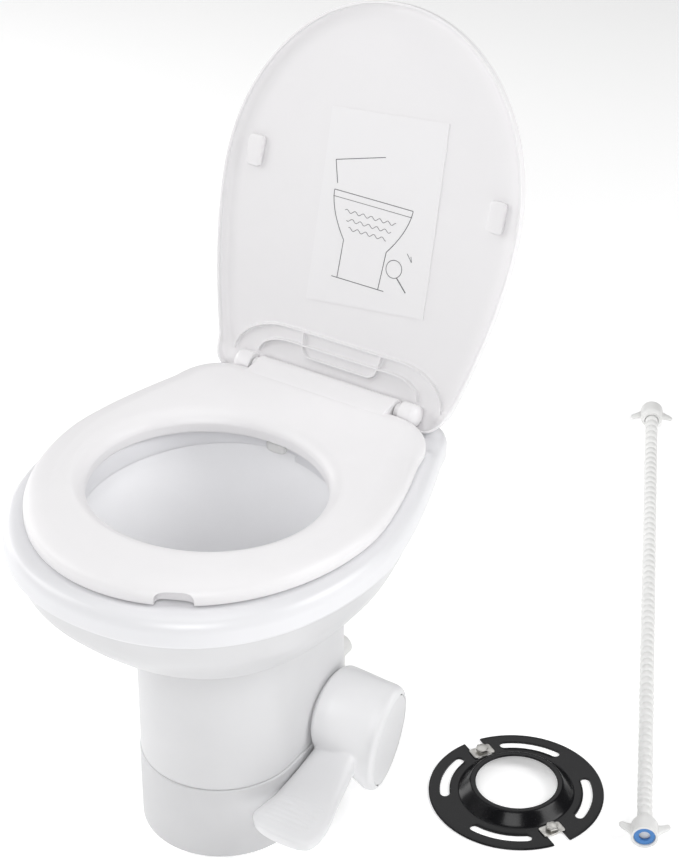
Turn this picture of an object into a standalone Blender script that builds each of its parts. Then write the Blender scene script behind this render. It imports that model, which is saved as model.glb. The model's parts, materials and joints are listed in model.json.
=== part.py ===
"""A gravity-flush toilet for a camper van, with its floor flange and its water hose.

Metres, +Z up. The floor is z = 0, the front of the bowl looks along -Y, the foot pedal is on the
+X side, and the origin is on the floor under the middle of the bowl. The lid is modelled closed
and then turned open about its hinge, because the object rests with its lid open.
"""

import math

import bmesh
import bpy
import mathutils
import numpy as np

# Clearances shared by every piece
GAP = 0.0003          # between faces that touch
RUN = 0.0003          # radial clearance of a turning or sliding piece
OVERRUN = 0.004       # how far a cutter passes the face it cuts
MERGE = 0.00001
YZ_PLANE = (math.pi / 2, 0.0, math.pi / 2)   # turns a flat outline's (x, y) into (Y, Z)

# Points of one half outline, from the front tip to the middle of the rear
FRONT_STEPS, SIDE_STEPS, CORNER_STEPS, REAR_STEPS = 7, 3, 4, 2

# Pedestal and foot
PED_HALF_WIDTH = 0.0872
PED_FRONT = 0.0883         # from the widest line to the front
PED_WIDEST_Y = -0.0400
PED_REAR_Y = 0.1105
PED_CORNER = 0.0600
PED_WALL = 0.0040
FOOT_HEIGHT = 0.0912
FOOT_LIP = 0.0012          # how far the foot stands proud of the shell above it
FOOT_PLATE = 0.0070
FOOT_OPENING_RADIUS = 0.0545
FOOT_BOLT_X = 0.0690
FOOT_BOLT_RADIUS = 0.0045
PED_TOP_Z = 0.2392         # where the pedestal starts to swell into the bowl
SEAM_GROOVE = 0.0008

# Bowl shell: shares of its height above the pedestal, and how far it has swollen there
BOWL_SHARES = ((0, 0), (0.06, 0.08), (0.15, 0.21), (0.27, 0.38), (0.42, 0.57), (0.58, 0.74),
               (0.76, 0.895), (1, 1))
BOWL_INSET = 0.0048        # inside the rim cover's outline
SLOPE_SHARE = 1.0          # how much of a wall's thickness counts upwards where it slopes

# Bowl and rim
RIM_HALF_WIDTH = 0.2000
RIM_FRONT = 0.2327
RIM_WIDEST_Y = -0.0330
RIM_REAR_Y = 0.2050
RIM_REAR_HALF_WIDTH = 0.1300
RIM_CORNER = 0.0400
RIM_SQUARENESS = 2.17
RIM_TAPER = 1.45
RIM_WALL = 0.0040
RIM_LOW_Z = 0.3770
RIM_STEP = 0.0015
RIM_SHOULDER = 0.0180      # width of the rounding from the band to the deck
# Shares of the shoulder's width, of the band's height, and of the deck's step at the rear
RIM_SHOULDER_SHARES = ((0, 0.095, 0), (0, 0.508, 0), (0.11, 0.73, 0.1), (0.39, 0.905, 0.6), (1, 1, 1))
DECK_Z = 0.4085
DECK_THICK = 0.0040
DECK_DROP = 0.0050         # the deck steps down by this much under the hinge
DECK_DROP_Y = 0.1380
DECK_DROP_RUN = 0.0120
DECK_SHARES = (0.28, 0.40, 0.54)   # rings that carry the step, from the shoulder inwards
BOWL_LAP = 0.0110          # how far the bowl shell reaches up inside the rim cover
BOWL_CENTRE_Y = -0.0550
DECK_OPEN_HALF_WIDTH = 0.1310
DECK_OPEN_FRONT = 0.1360
DECK_OPEN_REAR = 0.1480
DECK_LIP_Z = 0.3840
DECK_LIP_WALL = 0.0030
RIM_DIMPLE = (-0.1480, -0.1590)
RIM_DIMPLE_RADIUS = 0.0022

# Basin inside the bowl
BASIN_WALL = 0.0030
BASIN_STEP = 0.0025        # the basin starts this much wider than the deck's lip
BASIN_FLANGE = 0.0160
THROAT_RADIUS = 0.0310
# Shares of the basin's height above the throat, and of the way out to the deck's opening
BASIN_SHARES = ((0, 0), (0.05, 0), (0.09, 0.035), (0.20, 0.155), (0.32, 0.33), (0.46, 0.52),
                (0.60, 0.68), (0.74, 0.825), (0.87, 0.93), (0.945, 0.985), (1, 1))

# Seat
SEAT_HALF_WIDTH = 0.1850
SEAT_FRONT = 0.2134
SEAT_WIDEST_Y = -0.0329
SEAT_REAR_Y = 0.1620
SEAT_REAR_HALF_WIDTH = 0.1310
SEAT_CORNER = 0.0550
SEAT_TAPER = 1.5
SEAT_SQUARENESS = 2.02
SEAT_LOW_Z = 0.4150
SEAT_THICK = 0.0190
SEAT_SHOULDER = 0.0270     # width of the sloped band round the seat
# Shares of the shoulder's width inwards, or outwards from the opening, and of the thickness
SEAT_OUTER_SHARES = ((0.148, 0), (0, 0.184), (0.074, 0.447), (0.37, 0.737), (1, 0.974))
SEAT_INNER_SHARES = ((0.75, 1.0), (0.30, 0.95), (0.08, 0.80), (0, 0.58), (0, 0.16), (0.148, 0))
WEB_TOP_SHARE = 0.92       # of the seat's thickness, where its web runs to the barrel
SEAT_BUMPER = (0.0120, 0.0260)
SEAT_BUMPER_FRONT = (0.1520, -0.1000)
SEAT_BUMPER_REAR = (0.1480, 0.0600)
OPEN_HALF_WIDTH = 0.1190
OPEN_CENTRE_Y = -0.0620
OPEN_FRONT = 0.1160
OPEN_REAR = 0.1140
NOTCH_AT = (0.0810, -0.2260)
NOTCH_WIDTH = 0.0360
NOTCH_DEPTH = 0.0150
NOTCH_FLOOR = 0.0045       # above the seat's underside

# Hinge, shared by the seat, the lid and the posts
HINGE_Y = 0.1707
HINGE_Z = 0.4235
BARREL_RADIUS = 0.0118
BARREL_HALF_LENGTH = 0.0860
PIN_RADIUS = 0.0035
PIN_DEPTH = 0.0160         # in the seat's barrel
HINGE_CLEAR_RADIUS = 0.0145
POST_THICK = 0.0045
POST_GAP = 0.0015          # between a post's cheek and what turns beside it
POST_DEPTH = 0.0170
PAD_LENGTH = 0.0150
PAD_THICK = 0.0018
STUD_RADIUS = 0.0040
STUD_LENGTH = 0.0260
NUT_RADIUS, NUT_HEIGHT = 0.0090, 0.0100
LUG_LENGTH = 0.0190
LUG_DOME = 0.0070
LUG_STEPS = 4
# Outline of the web over each lug, as shares of the barrel's radius behind and above the axis
LUG_WEB_SHARES = ((-0.6, 0), (1.14, 0), (1.0, 0.85), (0.80, 1.25), (0.5, 1.55), (-0.6, 1.55))
NOTCH_LIFT = 0.0050        # middle of the gap in the lid's rear wall, above the axis
LID_OPEN_DEG = 110.5

# Lid, given closed
LID_HALF_WIDTH = 0.1795
LID_FRONT = 0.2095
LID_REAR_OVERHANG = 0.0158
LID_REAR_HALF_WIDTH = 0.1360
LID_CORNER = 0.0300
LID_TAPER = 1.75
LID_LIP_Z = 0.4290
LID_TOP_Z = 0.4440
LID_FLOOR_Z = 0.4405
LID_CROWN = 0.0040
LID_LIP = 0.0030
LID_FILLET = 0.0165
LID_REAR_LEAN = 0.0045     # how far the rear wall leans in, to clear the deck when open
LID_TOP_SHARES = (0.45, 0.8, 1.0)
# Shares of the lip inwards, of the wall's height, and of the lean
LID_EDGE_SHARES = ((0, 0, 0), (0, 0.6, 0.8), (0.6, 0.82, 1.0), (2, 0.96, 0.5))
# Shares of the fillet inwards, of the height to the floor, and of the lean
LID_FILLET_SHARES = ((0, 0.35, 0), (0.12, 0.6, 0.25), (0.4, 0.86, 0.7), (1, 1, 0))
# Half width and reach from the hinge of each arched rib, and its corner's two radii
LID_ARCHES = {"outer_arch": (0.1300, 0.0470, 0.0600, 0.0400), "inner_arch": (0.1000, 0.0320, 0.0350, 0.0200)}
ARCH_STEPS = 4
CRADLE_TOP = 0.0490
CRADLE_REACH = 0.0205
RIB_WIDTH = 0.0018
RIB_HEIGHT = 0.0040
BUMPER_X = 0.1485
BUMPER_FROM_HINGE = 0.2235
BUMPER_SIZE = (0.0210, 0.0340)

# Flush mechanism
AXLE_Y, AXLE_Z = 0.0440, 0.1130
BALL_Y = -0.0080
BALL_RADIUS = 0.0420
BALL_WALL = 0.0040
BALL_SPAN_DEG = 80.0       # of the shell, from its crown towards the trunnions
BALL_OPEN_DEG = 54.0       # of the shell, from its crown to its front and rear edges
BALL_STEPS = 5
TRUNNION_RADIUS = 0.0050
CHEEK_X = 0.0335
CHEEK_RADIUS = 0.0180
PEDAL_TRAVEL_DEG = 22.0
PINION_TEETH = 11
SECTOR_TEETH = 44          # of the whole circle, so the ball turns four times as far as the pedal
SECTOR_UP, SECTOR_DOWN = 5, 2
SECTOR_HUB = 0.0115
PRESSURE_DEG = 25.0
ADDENDUM_SHARE, DEDENDUM_SHARE = 0.8, 1.1
BACKLASH = 0.00035
FLANK_STEPS = 2
HUB_STEPS = 14
GEAR_X, GEAR_THICK = 0.0660, 0.0080
PINION_END_X = 0.0780
SEAL_INNER, SEAL_HEIGHT = 0.0300, 0.0060
RETAINER_INNER, RETAINER_THICK = 0.0360, 0.0025
HOUSING_RADIUS = 0.0500
HOUSING_WALL = 0.0045
HOUSING_LOW_Z = 0.0600
ARM_X, ARM_THICK = 0.0462, 0.0042
OUTLET_RADIUS = 0.0485
OUTLET_LOW_Z = 0.0005
FLOOR_SEAL_TOP = 0.0120
AXLE_RADIUS = 0.0060
AXLE_INNER_X, AXLE_OUTER_X = 0.0260, 0.1440
BUSH_RADIUS, BUSH_FLANGE = 0.0100, 0.0135
SPRING_RADIUS, SPRING_WIRE = 0.0095, 0.0010
SPRING_TURNS, SPRING_POINTS = 2, 14
BOSS_RADIUS, BOSS_ROOT_RADIUS, BOSS_HOLLOW_RADIUS = 0.0440, 0.0465, 0.0265
BOSS_WALL = 0.0035
CAM_X, CAM_THICK = 0.0300, 0.0100
CAM_RADIUS, CAM_HUB = 0.0180, 0.0088
CAM_LIFT = 0.0040
CAM_LAND_SHARE = 0.3
CAM_STEPS = 10

# Pedal
DRUM_RADIUS = 0.0500
DRUM_IN_X, DRUM_OUT_X = 0.0895, 0.1570
DRUM_END_Y, DRUM_END_Z = 0.0480, 0.0950
DRUM_END_LONG, DRUM_END_SHORT = 0.0600, 0.0330
DRUM_END_TILT_DEG = 27.0
DRUM_EDGE = 0.0080
DRUM_WALL = 0.0035
DRUM_HUB_RADIUS = 0.0110
# Shares of the drum's length, of the change from round to oval, and of its rounded edge
DRUM_SHARES = ((0, 0, 0.3), (0.04, 0, 0), (0.22, 0.10, 0), (0.45, 0.38, 0), (0.68, 0.74, 0),
               (0.87, 1, 0), (0.94, 1, 0.18), (0.985, 1, 0.55), (1, 1, 1))
DRUM_HOLLOW_SHARES = ((-0.05, 0, 0), (0.22, 0.10, 0), (0.45, 0.38, 0), (0.68, 0.74, 0), (0.87, 1, 0.1))
CAP_THICK = 0.0030
SCREW_HEAD_RADIUS, SCREW_HEAD = 0.0045, 0.0026
SCREW_RADIUS, SCREW_LENGTH = 0.0020, 0.0080
PEDAL_STEPS = 20
# Sections of the arm and tread: Y, then X left and right, then Z top and underside
ARM_SECTIONS = (
    (0.0300, 0.0950, 0.1320, 0.1100, 0.0740), (0.0050, 0.0910, 0.1390, 0.0975, 0.0630),
    (-0.0230, 0.0905, 0.1460, 0.0900, 0.0600), (-0.0500, 0.0900, 0.1530, 0.0850, 0.0605),
    (-0.0720, 0.0895, 0.1600, 0.0820, 0.0610), (-0.0900, 0.0872, 0.1640, 0.0805, 0.0612),
    (-0.1060, 0.0850, 0.1655, 0.0797, 0.0615), (-0.1180, 0.0930, 0.1630, 0.0790, 0.0622),
    (-0.1240, 0.1050, 0.1550, 0.0778, 0.0640), (-0.1265, 0.1180, 0.1450, 0.0755, 0.0665),
)
ARM_STEPS = 12
ARM_POWER = 0.55           # squareness of the sections: 1 is an oval

# Water supply behind the pedestal
VALVE_X = 0.0350
VALVE_RADIUS, VALVE_LENGTH = 0.0125, 0.0360
VALVE_FLANGE_WIDTH, VALVE_FLANGE_THICK = 0.0260, 0.0040
VALVE_MOUTH_SHARE = 0.62   # where the inlet stands along the valve
INLET_RADIUS, INLET_BORE, INLET_DROP = 0.0103, 0.0062, 0.0360
PLUNGER_RADIUS, PLUNGER_NOSE, PLUNGER_ROOM = 0.0035, 0.0006, 0.0260
NOSE_GAP = 0.0008
FEED_RADIUS = 0.0060
BREAKER_Y = 0.1230
RISER_LOW_Z, BREAKER_LOW_Z, BREAKER_TOP_Z = 0.1300, 0.1500, 0.2000
BREAKER_RADIUS = 0.0100
FEED_BORE_TOP_Z = 0.2900
FEED_POINTS = 22
NOZZLE_RADIUS, NOZZLE_LENGTH, NOZZLE_Z = 0.0065, 0.0180, 0.3945
# Middle line of the feed tube between the breaker and the nozzle
FEED_WAY = ((0.0350, 0.1230, 0.2400), (0.0350, 0.1230, 0.2900), (0.0320, 0.1290, 0.3250),
            (0.0150, 0.1340, 0.3620), (0.0030, 0.1345, 0.3850), (0.0000, 0.1260, 0.3940))
DEFLECTOR_DEG = (28.0, 68.0)
DEFLECTOR_THICK = 0.0030
DEFLECTOR_LOW_Z, DEFLECTOR_LIP_Z, DEFLECTOR_HIGH_Z = 0.3880, 0.3960, 0.3990

# Floor flange, lying flat beside the toilet
FLANGE_AT = (0.2615, 0.1460)
FLANGE_RADIUS, FLANGE_BORE = 0.0965, 0.0448
FLANGE_STEEL = 0.0025
CONE_FOOT, CONE_HEAD, CONE_HEIGHT = 0.0625, 0.0500, 0.0155
SLOT_RADIUS, SLOT_WIDTH = 0.07875, 0.0105
SLOT_SPAN_DEG = 48.0
SLOT_ANGLES_DEG = (22.0, 107.0, 194.0, 286.0)
SLOT_STEPS = 5
NOTCH_ANGLES_DEG = {"rear": 150.0, "front": 330.0}
NOTCH_INNER = 0.0660
BOLT_SLOT_WIDTH = 0.0200
BOLT_FROM_NOTCH = 0.0084
BOLT_RADIUS, BOLT_HEAD_RADIUS, BOLT_HEAD, BOLT_RISE = 0.0040, 0.0075, 0.0030, 0.0025
CLIP_LENGTH, CLIP_LAP, CLIP_STEEL = 0.0160, 0.0030, 0.0015

# Water hose, lying on the floor
HOSE_NEAR, HOSE_FAR = (0.4124, 0.1571), (0.0515, 0.9020)
HOSE_RADIUS, HOSE_BORE = 0.0085, 0.0060
HOSE_RIBS = 64
HOSE_GROOVE_SHARE = 0.86
HOSE_SETTLE = 0.0600       # run over which the hose comes down to the floor
TAIL_RADIUS = 0.0112
NUT_OUTER, NUT_INNER, NUT_LENGTH = 0.0150, 0.0118, 0.0220
COLLAR_OUTER, COLLAR_INNER, COLLAR_LENGTH = 0.0115, 0.0090, 0.0050
WASHER_SEAT, WASHER_DEPTH = 0.0160, 0.0020
WING_SPAN, WING_LENGTH, WING_THICK = 0.0160, 0.0120, 0.0030


# Small helpers


def finish(name, colour, roughness, metallic=0.0):
    """A plain material with the piece's colour."""
    material = bpy.data.materials.new(name)
    material.use_nodes = True
    shader = material.node_tree.nodes["Principled BSDF"]
    shader.inputs["Base Color"].default_value = (*colour, 1.0)
    shader.inputs["Roughness"].default_value = roughness
    shader.inputs["Metallic"].default_value = metallic
    return material


def material_set():
    """Every material of the object, by plain name."""
    return {
        "seat": finish("warm_white_plastic", (0.87, 0.86, 0.84), 0.32),
        "rim": finish("gloss_white_plastic", (0.90, 0.90, 0.90), 0.22),
        "shell": finish("white_plastic", (0.82, 0.83, 0.83), 0.35),
        "basin": finish("white_basin_plastic", (0.84, 0.85, 0.85), 0.18),
        "inner": finish("grey_plastic", (0.55, 0.56, 0.57), 0.50),
        "rubber": finish("black_rubber", (0.03, 0.03, 0.03), 0.70),
        "soft": finish("white_rubber", (0.86, 0.86, 0.85), 0.55),
        "steel": finish("stainless_steel", (0.62, 0.62, 0.63), 0.30, 1.0),
        "zinc": finish("zinc_plate", (0.58, 0.58, 0.56), 0.38, 1.0),
        "black": finish("black_enamel", (0.012, 0.012, 0.013), 0.28),
        "brass": finish("brass", (0.60, 0.44, 0.20), 0.35, 1.0),
        "blue": finish("blue_rubber", (0.10, 0.30, 0.62), 0.50),
    }


def place(thing, home, parent=None):
    """Puts an object in a collection and, where it moves, under its joint's empty."""
    for other in thing.users_collection:
        other.objects.unlink(thing)
    home.objects.link(thing)
    if parent is not None:
        thing.parent = parent
        thing.location = thing.location - parent.location
    return thing


class Shop:
    """Holds the two collections and makes the pieces in them."""

    def __init__(self):
        self.parts = bpy.data.collections.new("camper_toilet")
        self.cutters = bpy.data.collections.new("cutters")
        for home in (self.parts, self.cutters):
            bpy.context.scene.collection.children.link(home)
        self.finishes = material_set()

    def axis(self, name, point):
        """An empty on a joint's axis."""
        empty = bpy.data.objects.new(name, None)
        empty.location = point
        self.parts.objects.link(empty)
        return empty

    def part(self, thing, name, material, parent=None, smooth_deg=35.0):
        """Makes an object a named piece with its finish."""
        thing.name = name
        place(thing, self.parts, parent)
        thing.data.name = name
        thing.data.materials.clear()
        thing.data.materials.append(self.finishes[material])
        thing.data.shade_smooth()
        thing.data.set_sharp_from_angle(angle=math.radians(smooth_deg))
        return thing

    def helper(self, thing, parent=None):
        """Makes an object a cutter or a shape to be joined: never a piece by itself."""
        place(thing, self.cutters, parent)
        thing.hide_render = True
        thing.display_type = "WIRE"
        return thing

    def combine(self, thing, other, operation, parent=None):
        """Adds one Boolean with a helper object."""
        self.helper(other, parent)
        step = thing.modifiers.new(f"{operation.lower()}_{other.name}", "BOOLEAN")
        step.operation = operation
        step.solver = "EXACT"
        step.object = other

    def cut(self, thing, other, parent=None):
        self.combine(thing, other, "DIFFERENCE", parent)

    def join(self, thing, other, parent=None):
        self.combine(thing, other, "UNION", parent)


def mesh_object(name, bm):
    """A scene object from a bmesh, its faces turned outwards."""
    bmesh.ops.recalc_face_normals(bm, faces=bm.faces)
    mesh = bpy.data.meshes.new(name)
    bm.to_mesh(mesh)
    bm.free()
    thing = bpy.data.objects.new(name, mesh)
    bpy.context.scene.collection.objects.link(thing)
    return thing


def loft(name, rings, looped=False):
    """A skin through rings of equally many points. A looped one closes on its first ring."""
    bm = bmesh.new()
    rows = [[bm.verts.new(point) for point in ring] for ring in rings]
    following = rows[1:] + ([rows[0]] if looped else [])
    for low, high in zip(rows, following):
        for i in range(len(low)):
            j = (i + 1) % len(low)
            bm.faces.new((low[i], low[j], high[j], high[i]))
    if not looped:
        bm.faces.new(rows[0][::-1])
        bm.faces.new(rows[-1])
    return mesh_object(name, bm)


def rod(name, radius, start, end, radius_end=None, steps=24):
    """A cylinder, or a cone where the two radii differ, between two points."""
    start, end = np.array(start, float), np.array(end, float)
    run = end - start
    bm = bmesh.new()
    bmesh.ops.create_cone(
        bm, cap_ends=True, segments=steps, radius1=radius,
        radius2=radius if radius_end is None else radius_end, depth=float(np.linalg.norm(run)),
    )
    thing = mesh_object(name, bm)
    thing.location = (start + end) / 2
    thing.rotation_euler = mathutils.Vector(run).to_track_quat("Z", "Y").to_euler()
    return thing


def block(name, size, centre, turn=(0.0, 0.0, 0.0)):
    """A box of a size, turned about its centre."""
    bm = bmesh.new()
    bmesh.ops.create_cube(bm, size=1)
    bmesh.ops.scale(bm, vec=size, verts=bm.verts)
    thing = mesh_object(name, bm)
    thing.location = centre
    thing.rotation_euler = turn
    return thing


def round_edges(thing, width, steps=2):
    """Rounds a piece's sharp edges."""
    bevel = thing.modifiers.new("rounded_edges", "BEVEL")
    bevel.width = width
    bevel.segments = steps
    bevel.limit_method = "ANGLE"
    bevel.angle_limit = math.radians(40)
    return thing


def turned(name, profile, centre=(0.0, 0.0, 0.0), turn=(0.0, 0.0, 0.0), steps=32, closed=True):
    """A profile of (radius, height) points spun about its own upright axis."""
    mesh = bpy.data.meshes.new(name)
    count = len(profile)
    edges = [(i, (i + 1) % count) for i in range(count if closed else count - 1)]
    mesh.from_pydata([(radius, 0.0, height) for radius, height in profile], edges, [])
    thing = bpy.data.objects.new(name, mesh)
    bpy.context.scene.collection.objects.link(thing)
    spin = thing.modifiers.new("spin", "SCREW")
    spin.steps = spin.render_steps = steps
    spin.use_merge_vertices = True
    spin.merge_threshold = MERGE
    thing.location = centre
    thing.rotation_euler = turn
    return thing


def meshed(thing):
    """Turns a curve object into a mesh object in the same place, its caps welded."""
    bpy.context.view_layer.update()
    graph = bpy.context.evaluated_depsgraph_get()
    mesh = bpy.data.meshes.new_from_object(thing.evaluated_get(graph))
    bm = bmesh.new()
    bm.from_mesh(mesh)
    bmesh.ops.remove_doubles(bm, verts=bm.verts, dist=MERGE)
    made = mesh_object(thing.name + "_mesh", bm)
    made.matrix_world = thing.matrix_world
    bpy.data.objects.remove(thing)
    return made


def plate(name, outline, thickness, centre, turn=(0.0, 0.0, 0.0)):
    """A flat outline given a thickness, equally to both sides of its plane."""
    curve = bpy.data.curves.new(name, "CURVE")
    curve.dimensions = "2D"
    curve.fill_mode = "BOTH"
    curve.extrude = thickness / 2
    spline = curve.splines.new("POLY")
    spline.points.add(len(outline) - 1)
    for point, (x, y) in zip(spline.points, outline):
        point.co = (x, y, 0.0, 1.0)
    spline.use_cyclic_u = True
    thing = bpy.data.objects.new(name, curve)
    bpy.context.scene.collection.objects.link(thing)
    thing.location = centre
    thing.rotation_euler = turn
    return meshed(thing)


def tube(name, route, radius, radii=None, resolution=2):
    """A round tube along points. radii are shares of its radius, one for each point."""
    curve = bpy.data.curves.new(name, "CURVE")
    curve.dimensions = "3D"
    curve.bevel_depth = radius
    curve.bevel_resolution = resolution
    curve.use_fill_caps = True
    spline = curve.splines.new("POLY")
    spline.points.add(len(route) - 1)
    for i, (point, spot) in enumerate(zip(spline.points, route)):
        point.co = (*spot, 1.0)
        point.radius = 1.0 if radii is None else radii[i]
    thing = bpy.data.objects.new(name, curve)
    bpy.context.scene.collection.objects.link(thing)
    return meshed(thing)


# Outlines seen from above


def egg(half_width, front, widest_y, rear_y, rear_half_width, corner, squareness=2.0, taper=1.0):
    """A whole outline, counter-clockwise from the front tip.

    The front is a superellipse quarter, the side tapers by a power, and a round corner leads
    into a straight rear edge.
    """
    half = []
    for i in range(FRONT_STEPS):
        t = math.pi / 2 * i / FRONT_STEPS
        half.append((half_width * math.sin(t) ** (2 / squareness),
                     widest_y - front * math.cos(t) ** (2 / squareness)))
    corner_y = rear_y - corner

    def side_x(y):
        share = (y - widest_y) / (rear_y - widest_y)
        return half_width - (half_width - rear_half_width) * share ** taper

    for i in range(SIDE_STEPS):
        y = widest_y + (corner_y - widest_y) * i / SIDE_STEPS
        half.append((side_x(y), y))
    corner_x = side_x(corner_y) - corner
    for i in range(CORNER_STEPS):
        t = math.pi / 2 * i / CORNER_STEPS
        half.append((corner_x + corner * math.cos(t), corner_y + corner * math.sin(t)))
    for i in range(REAR_STEPS + 1):
        half.append((corner_x * (1 - i / REAR_STEPS), rear_y))
    return np.array(half + [(-x, y) for x, y in half[-2:0:-1]])


def inset(outline, distance):
    """The outline moved inwards, or outwards where the distance is negative."""
    tangent = np.roll(outline, -1, 0) - np.roll(outline, 1, 0)
    tangent /= np.linalg.norm(tangent, axis=1)[:, None]
    return outline + np.stack([-tangent[:, 1], tangent[:, 0]], 1) * distance


def oval_towards(outline, centre_y, half_width, front, rear):
    """An oval whose points lie in the same directions from its centre as the outline's."""
    away = outline - np.array([0.0, centre_y])
    away /= np.linalg.norm(away, axis=1)[:, None]
    length = np.where(away[:, 1] < 0, front, rear)
    reach = 1 / np.sqrt((away[:, 0] / half_width) ** 2 + (away[:, 1] / length) ** 2)
    return np.array([0.0, centre_y]) + away * reach[:, None]


def level(outline, height):
    """An outline lifted to a height, which may be one number or one for each point."""
    heights = np.broadcast_to(np.asarray(height, float), len(outline))
    return np.column_stack([outline, heights])


def mix(first, second, share):
    """Points a share of the way from one outline to another."""
    return first + (second - first) * share


def smooth_step(value):
    """0 below 0, 1 above 1, and an even curve between."""
    t = np.clip(value, 0.0, 1.0)
    return t * t * (3 - 2 * t)


def rim_outline():
    return egg(RIM_HALF_WIDTH, RIM_FRONT, RIM_WIDEST_Y, RIM_REAR_Y, RIM_REAR_HALF_WIDTH,
               RIM_CORNER, RIM_SQUARENESS, RIM_TAPER)


def pedestal_outline():
    return egg(PED_HALF_WIDTH, PED_FRONT, PED_WIDEST_Y, PED_REAR_Y, PED_HALF_WIDTH, PED_CORNER)


def seat_outline():
    return egg(SEAT_HALF_WIDTH, SEAT_FRONT, SEAT_WIDEST_Y, SEAT_REAR_Y, SEAT_REAR_HALF_WIDTH,
               SEAT_CORNER, SEAT_SQUARENESS, SEAT_TAPER)


def lid_outline():
    return egg(LID_HALF_WIDTH, LID_FRONT, SEAT_WIDEST_Y, HINGE_Y + LID_REAR_OVERHANG,
               LID_REAR_HALF_WIDTH, LID_CORNER, SEAT_SQUARENESS, LID_TAPER)


def deck_fall(outline):
    """How far the deck lies below its main level at each point: it steps down at the hinge."""
    return DECK_DROP * smooth_step((outline[:, 1] - DECK_DROP_Y) / DECK_DROP_RUN)


# Foot and bowl shell


def make_foot(shop):
    """The separate foot: a skirt with a floor plate that holds the outlet and two bolt holes."""
    outer = inset(pedestal_outline(), -FOOT_LIP)
    inner = inset(outer, PED_WALL)
    top = FOOT_HEIGHT - GAP
    rings = [
        level(inset(outer, FOOT_LIP), 0.0), level(outer, FOOT_LIP), level(outer, top - FOOT_LIP),
        level(inset(outer, FOOT_LIP), top), level(inner, top), level(inner, FOOT_PLATE),
    ]
    foot = shop.part(loft("foot", rings), "base_foot", "shell")
    shop.cut(foot, rod("foot_opening", FOOT_OPENING_RADIUS, (0, BALL_Y, -OVERRUN),
                       (0, BALL_Y, FOOT_PLATE + OVERRUN), steps=56))
    for side in (-1, 1):
        hole = rod(f"foot_bolt_hole_{side}", FOOT_BOLT_RADIUS, (side * FOOT_BOLT_X, BALL_Y, -OVERRUN),
                   (side * FOOT_BOLT_X, BALL_Y, FOOT_PLATE + OVERRUN), steps=16)
        shop.cut(foot, hole)
    shop.cut(foot, boss_cone("boss_room", 2 * GAP))


def boss_cone(name, extra):
    """The raised boss on the pedestal's side that carries the pedal's axle."""
    at = (AXLE_Y, AXLE_Z)
    return rod(name, BOSS_ROOT_RADIUS + extra, (PED_HALF_WIDTH - PED_WALL / 2 - extra, *at),
               (DRUM_IN_X - GAP, *at), radius_end=BOSS_RADIUS + extra, steps=32)


def bowl_ring(height_share, width_share, wall=0.0):
    """One ring of the bowl shell: the pedestal's outline swelling to the rim's."""
    wide = inset(rim_outline(), BOWL_INSET)
    ring = mix(pedestal_outline(), wide, width_share)
    height = PED_TOP_Z + (RIM_LOW_Z - PED_TOP_Z) * height_share
    return level(inset(ring, wall), height + wall * SLOPE_SHARE * (1 - width_share))


def make_bowl_shell(shop):
    """Lower bowl and pedestal, one moulding, with the round boss that carries the pedal."""
    straight = pedestal_outline()
    wide = inset(rim_outline(), BOWL_INSET)
    lap_top = RIM_LOW_Z + BOWL_LAP
    outer = [level(wide, lap_top)]
    outer += [bowl_ring(*shares) for shares in reversed(BOWL_SHARES)]
    outer += [level(straight, FOOT_HEIGHT + SEAM_GROOVE), level(inset(straight, SEAM_GROOVE), FOOT_HEIGHT)]
    inner = [level(inset(straight, PED_WALL), FOOT_HEIGHT)]
    inner += [bowl_ring(*shares, wall=PED_WALL) for shares in BOWL_SHARES]
    inner += [level(inset(wide, PED_WALL), lap_top)]
    shell = shop.part(loft("bowl_shell", outer + inner, looped=True), "bowl_and_pedestal", "shell")
    axle = np.array([0.0, AXLE_Y, AXLE_Z])
    face = DRUM_IN_X - GAP
    inside_face = face - BOSS_WALL
    shop.join(shell, boss_cone("boss", 0.0))
    shop.cut(shell, rod("boss_hollow", BOSS_HOLLOW_RADIUS, axle + (PED_HALF_WIDTH - PED_WALL - OVERRUN, 0, 0),
                        axle + (inside_face, 0, 0), steps=32))
    shop.cut(shell, rod("bush_bore", BUSH_RADIUS + RUN, axle + (inside_face - OVERRUN, 0, 0),
                        axle + (face + OVERRUN, 0, 0)))
    shop.cut(shell, rod("plunger_bore", PLUNGER_RADIUS + RUN,
                        (VALVE_X, PED_REAR_Y - PED_WALL * 2 - OVERRUN, AXLE_Z),
                        (VALVE_X, PED_REAR_Y + OVERRUN, AXLE_Z), steps=16))
    shop.cut(shell, rod("feed_bore", FEED_RADIUS + RUN, (VALVE_X, BREAKER_Y, BREAKER_TOP_Z),
                        (VALVE_X, BREAKER_Y, FEED_BORE_TOP_Z), steps=16))


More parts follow.
